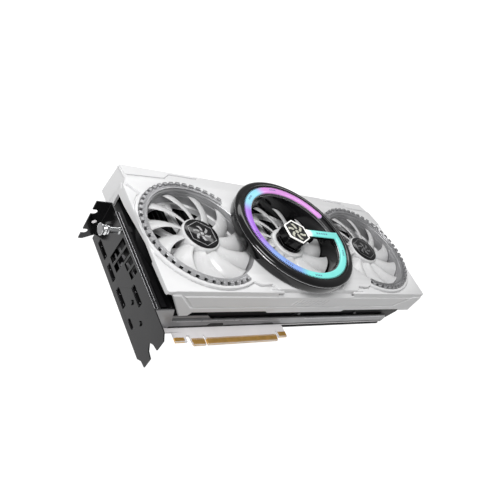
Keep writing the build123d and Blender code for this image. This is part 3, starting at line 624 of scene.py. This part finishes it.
def make_shroud_long_wall():
    """The wall over the edge connector: a base, a panel and a proud lower layer."""
    shape = Shape()
    corner = [(HEAD_X + 0.5, 42.2), (HEAD_X + 0.5, 39.4), (15.9, 38.4), (18.0, 42.2)]
    shape.plate([corner], WALL_Y - 0.4, WALL_Y + 1.2, along, edge=(0.3, 0.0), steps=2)
    base = RAKE + LOWER_EDGE + [(TAIL_X - 0.6, 42.0), (210.5, 42.0), (205.5, PANEL_TOP_Z),
                                (117.0, PANEL_TOP_Z), (112.0, 42.0)]
    shape.plate([base], WALL_Y, WALL_Y + 1.2, along, edge=(0.2, 0.0))
    recess = rectangle((106.0, 2 * MIDDLE_X - 106.0), (35.0, FACE_Z - 0.7))
    shape.plate([recess], RECESS_Y + 0.1, RECESS_Y + 1.2, along)
    panel = [(27.0, PANEL_TOP_Z), (40.4, PANEL_LOW_Z), (275.0, PANEL_LOW_Z), (295.0, PANEL_TOP_Z - 0.6),
             (205.5, PANEL_TOP_Z - 0.6), (205.0, PANEL_TOP_Z), (117.0, PANEL_TOP_Z)]
    shape.plate([panel], WALL_Y - 0.7, WALL_Y + 0.3, along, edge=(0.6, 0.0))
    lower = [(15.9, 38.6), *RAKE[1:], *LOWER_EDGE, (TAIL_X - 0.6, 38.2), (299.0, 38.2), (277.5, PANEL_LOW_Z),
             (38.6, PANEL_LOW_Z), (23.6, 38.6)]
    shape.plate([lower], LOW_Y, WALL_Y + 0.3, along, edge=(0.7, 0.0))
    foot_y, head_y = WALL_Y - 0.45, RECESS_Y + 0.4
    slope = [(foot_y, PANEL_TOP_Z - 0.3), (head_y, PANEL_TOP_Z - 1.5), (foot_y, PANEL_TOP_Z - 1.0)]
    shape.hull([(119.0, head_y, TOP_LEDGE_Z), (202.0, head_y, TOP_LEDGE_Z),
                *((x, y, z) for x in (114.5, 206.5) for y, z in slope)])
    shape.piece("shroud_long_wall", "white_shell")
    # white slats, each with a darker grey strip beside it as painted shade
    louvres, shades = Shape(), Shape()
    for i in range(9):
        x = 136.5 + 4.4 * i
        lean, width, low, high = 4.0, 1.5, 26.5, 33.0
        slat = [(x, low), (x + width, low), (x + width + lean, high), (x + lean, high)]
        louvres.plate([slat], WALL_Y - 1.0, WALL_Y - 0.5, along, edge=(0.3, 0.0))
        shade = [(u + width + 0.1, v) for u, v in slat[:1] + slat[3:]]
        shade = shade + [(u + 0.9, v) for u, v in reversed(shade)]
        shades.plate([shade], WALL_Y - 0.74, WALL_Y - 0.5, along)
    louvres.piece("shroud_louvres", "white_shell")
    shades.piece("shroud_louvre_painted_shades", "louvre_painted_shade", slot="white_shell")


# ---- toothed rings ----------------------------------------------------------------------
def knurl(shape, centre, inner, outer, low, high, start, end, pitch):
    """Fine radial ribs on a ring."""
    count = int((end - start) / pitch)
    for i in range(count):
        a = start + (end - start) * i / count
        b = a + pitch / 2
        rib = [polar(centre, r, turn) for r, turn in ((inner, a), (outer, a), (outer, b), (inner, b))]
        shape.plate([rib], low, high)


def make_toothed_ring(side):
    start, end = GAPS[side][1], GAPS[side][0] + 360
    centre = CENTRES[side]
    rim, top = 45.0, span(f"toothed_ring_{side}")[1].z
    seat, slot_in = CORNER_Z - 0.2, TOOTHED_ROOT - 0.3
    shape = Shape()
    profile = [
        (TOOTHED_IN, seat), (TOOTHED_IN, rim - 0.5), (TOOTHED_IN + 0.25, rim - 0.12), (46.9, rim),
        (47.5, rim), (47.7, rim - 0.25), (49.2, rim - 0.25), (49.35, rim), (slot_in - 0.15, rim),
        (slot_in, rim - 0.15), (slot_in, seat),
    ]
    shape.lathe(profile, centre, start, end)
    knurl(shape, centre, 47.75, 49.15, rim - 0.4, rim + 0.02, start + 0.5, end - 0.5, 1.8)
    pitch = 360 / TOOTH_COUNT
    half = degrees(TOOTH_W / 2 / TOOTHED_TIP)
    for i in range(TOOTH_COUNT):
        angle = i * pitch + (360 if i * pitch < start else 0)
        if start + half <= angle <= end - half:
            tooth = soften(band(centre, slot_in - 0.4, TOOTHED_TIP, angle - half, angle + half, 1.0), 0.15, 2)
            shape.plate([tooth], seat, top, edge=(0.0, 0.25), steps=2)
    shape.stand_in(f"toothed_ring_{side}", "silver_tooth")
    # black skin over the ring's wall between the teeth: painted shade that darkens the gaps
    slot_painted_shade_ring = Shape()
    section = rectangle((slot_in + 0.08, slot_in - 0.05), (seat, rim - 0.35))
    slot_painted_shade_ring.lathe(section, centre, start + 0.2, end - 0.2)
    slot_painted_shade_ring.piece(f"toothed_ring_{side}_seat", "black_matte", slot="silver_tooth")


def make_duct_rings():
    """Inner walls of the outer fans, with two grooves."""
    shape = Shape()
    inner, outer = DUCT_R, DUCT_R + 0.9
    for side in ("left", "right"):
        shape.lathe([
            (inner, DUCT_FOOT), (inner, 37.4), (inner + 0.5, 37.7), (inner + 0.5, 38.1), (inner, 38.4),
            (inner, 41.2), (inner + 0.5, 41.4), (inner + 0.5, 41.8), (inner, 42.0), (inner, FACE_Z - 0.6),
            (inner + 0.3, FACE_Z - 0.3), (outer - 0.05, FACE_Z - 0.3), (outer - 0.05, DUCT_FOOT),
        ], CENTRES[side])
    shape.piece("duct_rings_detail", "silver_duct", slot="silver_trim", replaces=["duct_rings"])
    sleeve = Shape()
    low = span("fan_mount_left")[0].z
    for side in ("left", "right"):
        sleeve.lathe(rectangle((outer + 0.6, outer + 0.02), (low, FACE_Z - 2.7)), CENTRES[side])
    sleeve.piece("duct_sleeves", "black_matte")


# ---- fans -------------------------------------------------------------------------------
def blade_loop(radius, share):
    """One section of a blade on the cylinder of that radius, as points about the fan's axis."""
    chord = 11.5 + 8.5 * share ** 0.85
    pitch = radians(41 - 20 * share)
    sweep = 21.0 * share ** 1.35
    thick = 1.35 - 0.5 * share
    bow = 0.12 * chord
    count = 9
    upper, lower = [], []
    for k in range(count + 1):
        t = k / count
        s = (t - 0.5) * chord
        camber = bow * 4 * t * (1 - t)
        half = 0.5 * thick * (sqrt(max(0.0, 4 * t * (1 - t))) * 0.75 + 0.25 * (1 - abs(2 * t - 1) ** 6))
        upper.append((s, camber + half))
        lower.append((s, camber - half))
    points = []
    for s, n in upper + lower[-2:0:-1]:
        tangential = s * cos(pitch) - n * sin(pitch)
        height = s * sin(pitch) + n * cos(pitch)
        angle = radians(sweep) + tangential / radius
        points.append((radius * cos(angle), radius * sin(angle), 36.1 + height))
    return points


def make_fan(side):
    body = f"fan_{side}"
    centre = x, y = CENTRES[side]
    sections, steps = [], 12
    root, tip = HUB_R - 0.8, BLADE_R - 0.35
    for k in range(steps + 1):
        share = k / steps
        sections.append([(x + px, y + py, min(max(pz, HUB_FOOT + 0.1), HUB_TOP - 0.1))
                         for px, py, pz in blade_loop(root + (tip - root) * share, share)])
    blade = Shape().loft(sections)
    rotor = Shape()
    for i in range(BLADE_COUNT):
        rotor.join(blade.turned(centre, BLADE_PHASE + 360 * i / BLADE_COUNT))
    rim = HUB_R - (3.6 if side == "centre" else 1.55)
    hub = [
        (0.0, HUB_TOP - 1.2), (rim, HUB_TOP - 1.2), (rim, HUB_TOP - 0.1), (rim + 0.2, HUB_TOP),
        (HUB_R - 0.9, HUB_TOP - 0.1), (HUB_R - 0.3, HUB_TOP - 0.5), (HUB_R, HUB_TOP - 1.3), (HUB_R, HUB_FOOT),
        (HUB_R - 1.4, HUB_FOOT), (HUB_R - 1.4, HUB_TOP - 2.4), (0.0, HUB_TOP - 2.4),
    ]
    rotor.lathe([(max(r, 0.01), z) for r, z in hub], centre)
    rotor.stand_in(f"fan_rotor_{side}", "white_fan", body, crease=40)
    cap = Shape()
    cap_r, cap_z = rim - 0.05, HUB_TOP + 0.75
    cap.lathe([(0.01, HUB_TOP - 1.1), (cap_r, HUB_TOP - 1.1), (cap_r, cap_z - 0.35),
               (cap_r - 0.12, cap_z - 0.12), (cap_r - 0.4, cap_z), (0.01, cap_z)], centre)
    cap.stand_in(f"hub_cap_{side}", "badge", body)
    mark = Shape()
    size = rim / (HUB_R - 1.55)
    frame_line = [hexagon(centre, radius * size) for radius in (12.9, 12.3)]
    mark.plate(frame_line, cap_z - 0.1, cap_z + 0.1, edge=(0.0, 0.05))
    emblem(mark, centre, 7.8 * size, cap_z)
    mark.piece(f"hub_emblem_{side}", "hub_silver", body, "badge")


def emblem(shape, centre, radius, height):
    """Generic mark: six swept vanes round a dot."""
    for i in range(6):
        turn = 60 * i + 15
        vane = [polar(centre, radius * r, turn + a) for r, a in
                ((0.34, -16), (0.62, -6), (0.98, 14), (1.0, 34), (0.72, 24), (0.42, 22))]
        shape.plate([soften(vane, 0.5, 3)], height - 0.1, height + 0.1, edge=(0.0, 0.05))
    shape.plate([circle(centre, radius * 0.2, 0.5)], height - 0.1, height + 0.1, edge=(0.0, 0.05))


# ---- centre ring ------------------------------------------------------------------------
def make_centre_ring():
    centre, out, split = CENTRES["centre"], RING_R, RING_SPLIT_Z
    base, trim, crown, ticks, lip = (Shape() for _ in range(5))
    base.lathe([
        (DUCT_R, DUCT_FOOT), (DUCT_R, split - 0.1), (out - 1.2, split - 0.1), (out - 0.5, split - 0.35),
        (out - 0.1, split - 0.9), (out, split - 1.6), (out, FACE_Z + 2.4), (out - 0.5, FACE_Z + 1.0),
        (out - 1.4, FACE_Z + 0.02), (DUCT_R + 2, FACE_Z + 0.02), (DUCT_R + 2, DUCT_FOOT),
    ], centre)
    base.stand_in("centre_ring_base", "black_gloss")
    bulge, seat = out + 0.15, split + 0.6
    trim.lathe([
        (out - 4, split), (bulge - 0.2, split), (bulge, split + 0.2), (bulge, split + 0.4),
        (bulge - 0.2, seat), (out - 4, seat),
    ], centre)
    trim.stand_in("centre_ring_trim", "silver_trim")
    shoulder = [(0.4, 0.3), (0.35, 0.9), (0, 1.6), (-0.8, 2.3), (-1.9, 2.8)]
    rim = [(out - 3.1, -0.05), (out - 4.2, 0), (54.9, -0.05), (54.3, -0.2)]
    crown.lathe([
        (LIGHT_IN - 0.1, LIGHT_Z - 1.2), (LIGHT_IN - 0.1, seat), (out + 0.1, seat),
        *((out + r, seat + z) for r, z in shoulder), *((r, RING_TOP_Z + z) for r, z in rim),
        (53.8, LIGHT_Z - 0.1), (LIGHT_OUT + 0.1, LIGHT_Z - 0.15), (LIGHT_OUT + 0.1, LIGHT_Z - 1.2),
    ], centre)
    crown.piece("centre_ring_crown", "black_gloss", replaces=["centre_ring_top"])
    knurl(ticks, centre, LIGHT_OUT - 0.9, LIGHT_OUT + 0.75, LIGHT_Z - 0.6, LIGHT_Z + 0.12, LIGHT_START + 4,
          LIGHT_END - 0.5, 1.6)
    ticks.piece("centre_ring_ticks", "black_matte", slot="black_gloss")
    edge_r, foot = LIGHT_IN - 0.15, split - 0.05
    lip.lathe([
        (DUCT_R, foot), (DUCT_R, LIGHT_Z - 1.5), (DUCT_R + 0.15, LIGHT_Z - 1.1),
        (DUCT_R + 0.5, LIGHT_Z - 0.9), (edge_r, LIGHT_Z - 0.95), (edge_r, foot),
    ], centre)
    lip.stand_in("centre_ring_lip", "silver_trim")


def make_centre_collar():
    """Low white lip of the shroud round the foot of the centre ring."""
    shape = Shape()
    inner = RING_R + 0.35
    section = ((0, -0.2), (0, 1.0), (0.4, 1.5), (1.6, 1.5), (2.1, 1.1), (2.3, -0.2))
    shape.lathe([(inner + out, FACE_Z + rise) for out, rise in section], CENTRES["centre"], -58, 38)
    shape.piece("centre_collar", "white_shell")


def make_light_ring():
    """The lit band, with its rounded start and its arm to the hexagon."""
    centre = CENTRES["centre"]
    half, middle_r = (LIGHT_OUT - LIGHT_IN) / 2, (LIGHT_OUT + LIGHT_IN) / 2
    arm = ARM_W / 2
    nose = arc(polar(centre, middle_r, LIGHT_START), half, LIGHT_START + 180, LIGHT_START + 360)[1:-1]
    hexagon_face = RING_X + HEXAGON_R * cos(radians(30)) + 0.15
    loop = arc(centre, LIGHT_OUT, LIGHT_START, LIGHT_END) + [
        (RING_X + LIGHT_IN - 0.2, FAN_Y + arm), (hexagon_face, FAN_Y + arm), (hexagon_face, FAN_Y - arm),
    ] + arc(centre, LIGHT_IN, 360 - degrees(arm / LIGHT_IN), LIGHT_START) + nose
    shape = Shape()
    shape.plate([loop], LIGHT_Z - 1.2, LIGHT_Z, edge=(0.0, 0.15), steps=2)
    shape.stand_in("light_ring", "light_band")


def make_hexagon():
    centre = CENTRES["centre"]
    housing = Shape()
    rings = []
    for radius, height in ((13.5, 46.4), (HEXAGON_R, 46.9), (HEXAGON_R, LIGHT_Z - 3.2),
                           (HEXAGON_R - 0.45, LIGHT_Z - 2.6), (HEXAGON_R - 0.45, LIGHT_Z - 1.25)):
        rings.append([(px, py, height) for px, py in soften(hexagon(centre, radius), 0.5, 2)])
    housing.loft(rings)
    low, high = LIGHT_Z - 4.2, LIGHT_Z - 1.25
    beam = rectangle((RING_X + HEXAGON_R - 4, RING_X + DUCT_R - 0.1), (FAN_Y - ARM_W / 2, FAN_Y + ARM_W / 2))
    housing.plate([beam], low, high, edge=(0.5, 0.1), steps=3)
    housing.lathe([(0.01, 46.2), (2.2, 46.2), (2.6, 46.7), (2.6, low + 0.3), (0.01, low + 0.3)],
                  (RING_X + 38, FAN_Y), chord=0.5)
    housing.stand_in("hexagon_housing", "black_gloss", crease=28)
    light = Shape()
    outer, inner = soften(hexagon(centre, HEXAGON_R - 0.6), 0.3, 2), hexagon(centre, HEXAGON_R - 1.75)
    light.plate([outer, inner], LIGHT_Z - 1.2, LIGHT_Z, edge=(0.0, 0.15), steps=2)
    light.stand_in("hexagon_light", "white_light")
    badge = Shape()
    badge_z = LIGHT_Z - 0.45
    badge.plate([hexagon(centre, HEXAGON_R - 1.8)], LIGHT_Z - 1.2, badge_z, edge=(0.0, 0.1))
    badge.stand_in("hexagon_badge", "badge")
    mark = Shape()
    emblem(mark, centre, 9.4, badge_z)
    mark.piece("hexagon_emblem", "emblem", slot="badge")


# ---- fan frames -------------------------------------------------------------------------
def make_fan_frame(side):
    """Light struts behind the blades, from the motor seat to the duct."""
    centre = CENTRES[side]
    low, high = span(f"fan_mount_{side}")[0].z, 29.3
    shape = Shape()
    shape.lathe([(0.01, low), (14.0, low), (14.0, high), (11.2, high), (11.2, low + 1.4), (0.01, low + 1.4)],
                centre)
    for i in range(8):
        turn = 45 * i + 22.5
        strut = [polar(centre, r, turn + a) for r, a in
                 ((13.5, -9), (24, -9), (34, -12), (45.2, -17), (45.2, -9.5), (34, -3.0), (24, 2), (13.5, 9))]
        shape.plate([strut], low + 1.0, high, edge=(0.0, 0.5), steps=2)
    shape.lathe([(43.4, low + 0.6), (46.0, low + 0.6), (46.0, high + 0.6), (43.4, high - 0.2)], centre)
    shape.stand_in(f"fan_mount_{side}", "white_shell")


# ---- bracket ----------------------------------------------------------------------------
DISPLAY_SIZE = (17.0, 5.2)
LOWER_DISPLAY_Y, UPPER_DISPLAY_Y = 41.5, 29.0


def socket_spots(node):
    """Middle and size of each socket of a node, inside its metal shell."""
    low, high = span(node)
    shell = 0.4
    if node != "display_ports":
        return [(*middle(node).yz, high.y - low.y - 2 * shell, high.z - low.z - 2 * shell)]
    length, height = DISPLAY_SIZE
    spots = ((high.y - shell - length / 2, low.z + shell + height / 2),
             (LOWER_DISPLAY_Y, low.z + shell + height / 2), (UPPER_DISPLAY_Y, high.z - shell - height / 2))
    return [(*spot, length, height) for spot in spots]


def make_ports():
    """Insides of the sockets: black wells with a thin metal rim, a tongue and bright contacts."""
    wells, rims, sparks = Shape(), Shape(), Shape()
    for node in ("display_ports", "hdmi_port", "usb_port"):
        for y, z, length, height in socket_spots(node):
            outline = soften(centred(y, z, length, height), 0.9)
            wells.plate([outline, inset_loop(outline, 0.35)], 0.5, 8.0, across)
            wells.plate([outline], 7.0, 8.0, across)
            rims.plate([outline, inset_loop(outline, 0.22)], 0.35, 1.1, across)
            wells.plate([centred(y, z + 0.35, length * 0.74, 1.1)], 1.7, 7.2, across, edge=(0.15, 0.0))
            for spot_y in (y - length * 0.34, y + length * 0.22):
                sparks.plate([rectangle((spot_y, spot_y + 0.8), (z - 1.4, z - 0.9))], 1.2, 3.0, across)
    wells.piece("port_wells", "port_black", slot="bracket_dark")
    rims.piece("port_rims", "steel", slot="bracket_dark")
    sparks.piece("port_contacts", "steel", slot="bracket_dark")


def make_bracket_fold():
    """Fold along the bracket's fan side: a darker face as painted shade, between two bright steel strips as
    painted highlights on its edges.
    """
    top = span("bracket")[1].z
    fold, lines = Shape(), Shape()
    fold.plate([rectangle((0.7, 4.9), (8.3, 95.7))], top - 0.1, top + 0.03)
    fold.piece("bracket_fold_painted_shade", "fold_dark", slot="bracket_dark")
    # bright steel strips: painted highlights on the fold's edges
    for start, end in ((0.25, 0.6), (2.5, 2.85)):
        lines.plate([rectangle((start, end), (8.3, 95.7))], top - 0.1, top + 0.06, edge=(0.0, 0.06))
    lines.piece("bracket_fold_painted_highlights", "steel", slot="bracket_dark")


def make_button():
    """Turned post and its flat cap, with waists and collars along the cap."""
    low, high = span("push_button")
    _, y, z = middle("push_button")
    radius = (high.y - low.y) / 2

    def spin(start, profile):
        """A closed profile of (x, radius) turned about the button's axis, from a start."""
        turns = [2 * pi * i / 48 for i in range(48)]
        sections = [[(start + x, y + r * cos(t), z + r * sin(t)) for x, r in profile] for t in turns]
        return Shape().loft(sections, closed=True)

    shoulders = [(0.3, 0.5), (0.1, 0.25), (0.3, 0), (1.1, 0), (1.7, 0.9), (2.3, 1.1), (2.9, 0.8), (3.6, 0.5),
                 (4.3, 0.8), (4.8, 1.2), (5.4, 1.0), (6.1, 0.9), (6.7, 1.2), (7.0, 1.5)]
    outline = [(x, radius - less) for x, less in shoulders]
    outline = [(0.3, 0.01), *outline, (7.0, 2.7), (1.2, 2.7), (1.2, 0.01)]
    spin(low.x, outline).stand_in("push_button", "chrome_button", "button")
    face = [(0.15, 0.01), (0.15, radius - 0.5), (0.35, radius - 0.5), (0.35, 0.01)]
    spin(low.x, face).piece("push_button_face", "button_face", "button", "chrome_button")
    neck_x = span("button_neck")[0].x
    neck = [(neck_x, 0.01), (neck_x, 2.55), (-2.0, 2.4), (-1.2, 2.7), (-0.5, 3.0), (-0.02, 3.0),
            (-0.02, 0.01)]
    spin(0.0, neck).stand_in("button_neck", "chrome_button")


def make_vent_shapes():
    """Grey shapes that show through the bracket's vents, in front of a black sheet that is painted shade for
    the card's inside.
    """
    light, dim, shade = Shape(), Shape(), Shape()
    for strip in ([(76.0, 18.6), (76.0, 21.2), (40.0, 26.4), (40.0, 24.4)],
                  [(76.0, 12.4), (76.0, 13.6), (57.0, 12.8), (57.0, 11.9)],
                  [(64.2, 13.0), (61.0, 16.2), (61.0, 19.6), (64.2, 17.0)],
                  [(53.4, 21.0), (51.0, 24.2), (51.0, 26.0), (53.4, 24.0)]):
        light.plate([strip], 2.6, 3.4, across, edge=(0.2, 0.0))
    for patch in (((68.6, 74.8), (23.6, 28.6)), ((50.8, 56.6), (27.0, 33.6)), ((59.6, 62.0), (21.0, 26.0))):
        dim.plate([rectangle(*patch)], 1.8, 2.4, across, edge=(0.2, 0.0))
    # black sheet behind the vents: painted shade of the card's inside
    shade.plate([rectangle((33.0, 80.0), (8.0, 34.6))], 6.0, 6.6, across)
    light.piece("vent_ribs", "vent_grey", slot="frame_grey")
    dim.piece("vent_patches", "fold_dark", slot="frame_grey")
    shade.piece("vent_painted_shade", "port_black", slot="black_matte")


# ---- board ------------------------------------------------------------------------------
def make_gold_skirts():
    """Gilt strips where the contacts, the tab and the hook end."""
    gold, edge = Shape(), Shape()
    low, top = -0.04, BOARD_T + 0.05
    for x, y in (((32.5, 40.6), (3.55, 7.4)), ((134.4, 143.1), (3.25, 8.3))):
        gold.plate([rectangle(x, (y[0] + 0.8, y[1]))], low, top)
        edge.plate([rectangle(x, (y[0], y[0] + 0.8))], low, top, edge=(0.0, 0.5))
    for x in ((46.4, 58.15), (59.95, 131.7)):
        start, end = x[0] + (0.9 if x[0] < 50 else 0.0), x[1] - (0.9 if x[1] > 100 else 0.0)
        gold.plate([[(x[0], 4.9), (start, 1.2), (end, 1.2), (x[1], 4.9)]], low, top)
        edge.plate([rectangle((start, end), (-0.04, 1.2))], low, top, edge=(0.5, 0.5))
    gold.piece("gold_skirt", "gold")
    edge.piece("gold_skirt_edge", "gold_edge", slot="gold")


def make_rail_details():
    """Dark foot and notches on the rail's long face as painted shade, and bright upper strips as painted
    highlights.
    """
    face_y = span("lower_rail")[0].y
    # dark foot and notches: painted shade along the rail's step
    dark = Shape()
    foot = [(30, BOARD_T), (30, 3.6), (64, 3.6), (66, 6.0), (78, 6.2), (80, 3.4), (118, 3.4), (122, 4.4),
            (131, 4.4), (134, 2.6), (281.5, 2.6), (281.5, BOARD_T)]
    dark.plate([foot], face_y - 0.08, face_y + 0.1, along)
    for x in (150.5, 153.5):
        notch = [(x, 11.2), (x + 2.4, 14.6), (x + 3.6, 14.6), (x + 1.2, 11.2)]
        dark.plate([notch], face_y + 2.2, face_y + 2.8, along)
    dark.piece("rail_foot_painted_shade", "back_metal", slot="frame_grey")
    # bright steel strips: painted highlights along the rail's upper part
    light = Shape()
    for start, end, z in ((34, 92, 9.0), (96, 138, 7.6), (166, 276, 8.6)):
        strip = rectangle((start, end), (z, z + 0.9))
        light.plate([strip], face_y - 0.25, face_y + 0.05, along, edge=(0.2, 0.0))
    light.piece("rail_painted_highlights", "steel", slot="frame_grey")
    screws = Shape()
    for x in (157.5, 232.0):
        washer = [circle((x, 12.6), radius, 0.5) for radius in (1.3, 0.7)]
        screws.plate(washer, face_y + 1.9, face_y + 2.6, along, edge=(0.2, 0.0))
    screws.piece("fin_screws", "nickel", slot="steel")


# ---- light band -------------------------------------------------------------------------
def make_band_dashes():
    """Small plain dashes printed on the light band."""
    shape = Shape()
    centre = CENTRES["centre"]
    for angle in (-100, -30, 88, 131, 186, 226):
        for k in range(4):
            turn = angle + 2.3 * k
            shape.plate([band(centre, 48.9, 50.5, turn, turn + 1.3, 1.0)], LIGHT_Z - 0.1, LIGHT_Z + 0.03)
    for k in range(5):
        x = RING_X + 24 + 3 * k
        shape.plate([rectangle((x, x + 1.7), (FAN_Y - 0.7, FAN_Y + 0.9))], LIGHT_Z - 0.1, LIGHT_Z + 0.03)
    shape.piece("light_band_dashes", "dash", slot="light_band")


# ---- CAD nodes that stay in sight -------------------------------------------------------
def bevel_cad_nodes():
    """Small rounded edges on the sheet metal that stays as packed."""
    for node, width in (("bracket", 0.22), ("lower_rail", 0.3), ("upper_rail", 0.3), ("backplate", 0.3)):
        modifiers = frame["nodes"][node].modifiers
        modifiers.new("weld", "WELD").merge_threshold = 1e-5
        bevel = modifiers.new("bevel", "BEVEL")
        bevel.limit_method, bevel.angle_limit = "ANGLE", radians(30)
        bevel.width, bevel.segments = width * MM, 2
        bevel.harden_normals = False


# ---- floor, light and camera ------------------------------------------------------------
def make_stage():
    """A white floor that shines by itself, so that nothing casts a shadow on it."""
    mat, tree, shader, place = new_material("floor")
    _, tone = tree.noise(place, 4.0, 0, 1)
    ramp = tree.add("ValToRGB", {"Fac": tone})
    ramp.color_ramp.elements[0].color = (0.96, 0.96, 0.96, 1)
    ramp.color_ramp.elements[1].color = (1, 1, 1, 1)
    tree.links.new(ramp.outputs["Color"], shader.inputs["Emission Color"])
    put(shader, {"Emission Strength": 1.06, "Base Color": (0.15, 0.15, 0.15, 1), "Roughness": 0.9,
                 "Specular IOR Level": 0.1})
    mesh = bpy.data.meshes.new("floor")
    mesh.from_pydata([(*corner, 0) for corner in rectangle((-6, 6), (-6, 6))], [], [(0, 1, 2, 3)])
    mesh.materials.append(mat)
    floor = bpy.data.objects.new("floor", mesh)
    floor.location.z = CAD_BOX[0].z - 0.0002
    floor.visible_diffuse = False
    bpy.context.scene.collection.objects.link(floor)


def area_light(name, place, target, size, power):
    lamp = bpy.data.lights.new(name, "AREA")
    lamp.shape, lamp.size, lamp.size_y = "RECTANGLE", *size
    lamp.energy = power
    obj = bpy.data.objects.new(name, lamp)
    obj.location = place
    obj.rotation_mode = "QUATERNION"
    obj.rotation_quaternion = (Vector(target) - Vector(place)).to_track_quat("-Z", "Y")
    bpy.context.scene.collection.objects.link(obj)


def make_lights():
    """White to the camera, even in diffuse light and dim in reflections, with three softboxes."""
    world = bpy.data.worlds.new("studio")
    bpy.context.scene.world = world
    tree = Tree(world)
    background = tree.nodes["Background"]
    put(background, {"Color": (1, 1, 1, 1)})
    rays = tree.add("LightPath").outputs
    even = tree.add("Mix", {"Factor": rays["Is Glossy Ray"]}, {"A": 0.27, "B": 0.25})
    seen = tree.add("Mix", {"Factor": rays["Is Camera Ray"], "A": even.outputs["Result"]},
                    {"B": 1.0})
    tree.links.new(seen.outputs["Result"], background.inputs["Strength"])
    centre = (0, 0, 0.03)
    area_light("key", (-0.70, -0.18, 0.96), centre, (0.55, 0.55), 11.6)
    area_light("top_strip", (0.25, 0.75, 0.75), centre, (1.2, 0.16), 2.4)
    area_light("side_strip", (-0.55, -0.95, 0.35), centre, (0.9, 0.10), 0.7)


def make_camera():
    data = bpy.data.cameras.new("camera")
    data.sensor_width, data.lens = 36.0, 43.04
    data.shift_x, data.shift_y = -0.0657, 0.0935
    data.clip_start, data.clip_end = 0.01, 50
    camera = bpy.data.objects.new("camera", data)
    camera.location = at(-206.59, -196.15, 310.03)
    camera.rotation_euler = [radians(angle) for angle in (46.972, -32.893, -29.88)]
    bpy.context.scene.collection.objects.link(camera)
    bpy.context.scene.camera = camera
    bpy.context.scene.view_settings.view_transform = "Standard"


# ---- the whole scene --------------------------------------------------------------------
make_camera()
make_lights()
make_stage()
dress_cad_nodes()
make_shroud_face()
make_shroud_ends()
make_shroud_long_wall()
for toothed_side in ("left", "right"):
    make_toothed_ring(toothed_side)
make_duct_rings()
for fan_side in SIDES:
    make_fan(fan_side)
make_centre_ring()
make_centre_collar()
make_light_ring()
make_hexagon()
for frame_side in SIDES:
    make_fan_frame(frame_side)
make_bracket_fold()
make_ports()
make_button()
make_vent_shapes()
make_gold_skirts()
make_rail_details()
make_band_dashes()
bevel_cad_nodes()
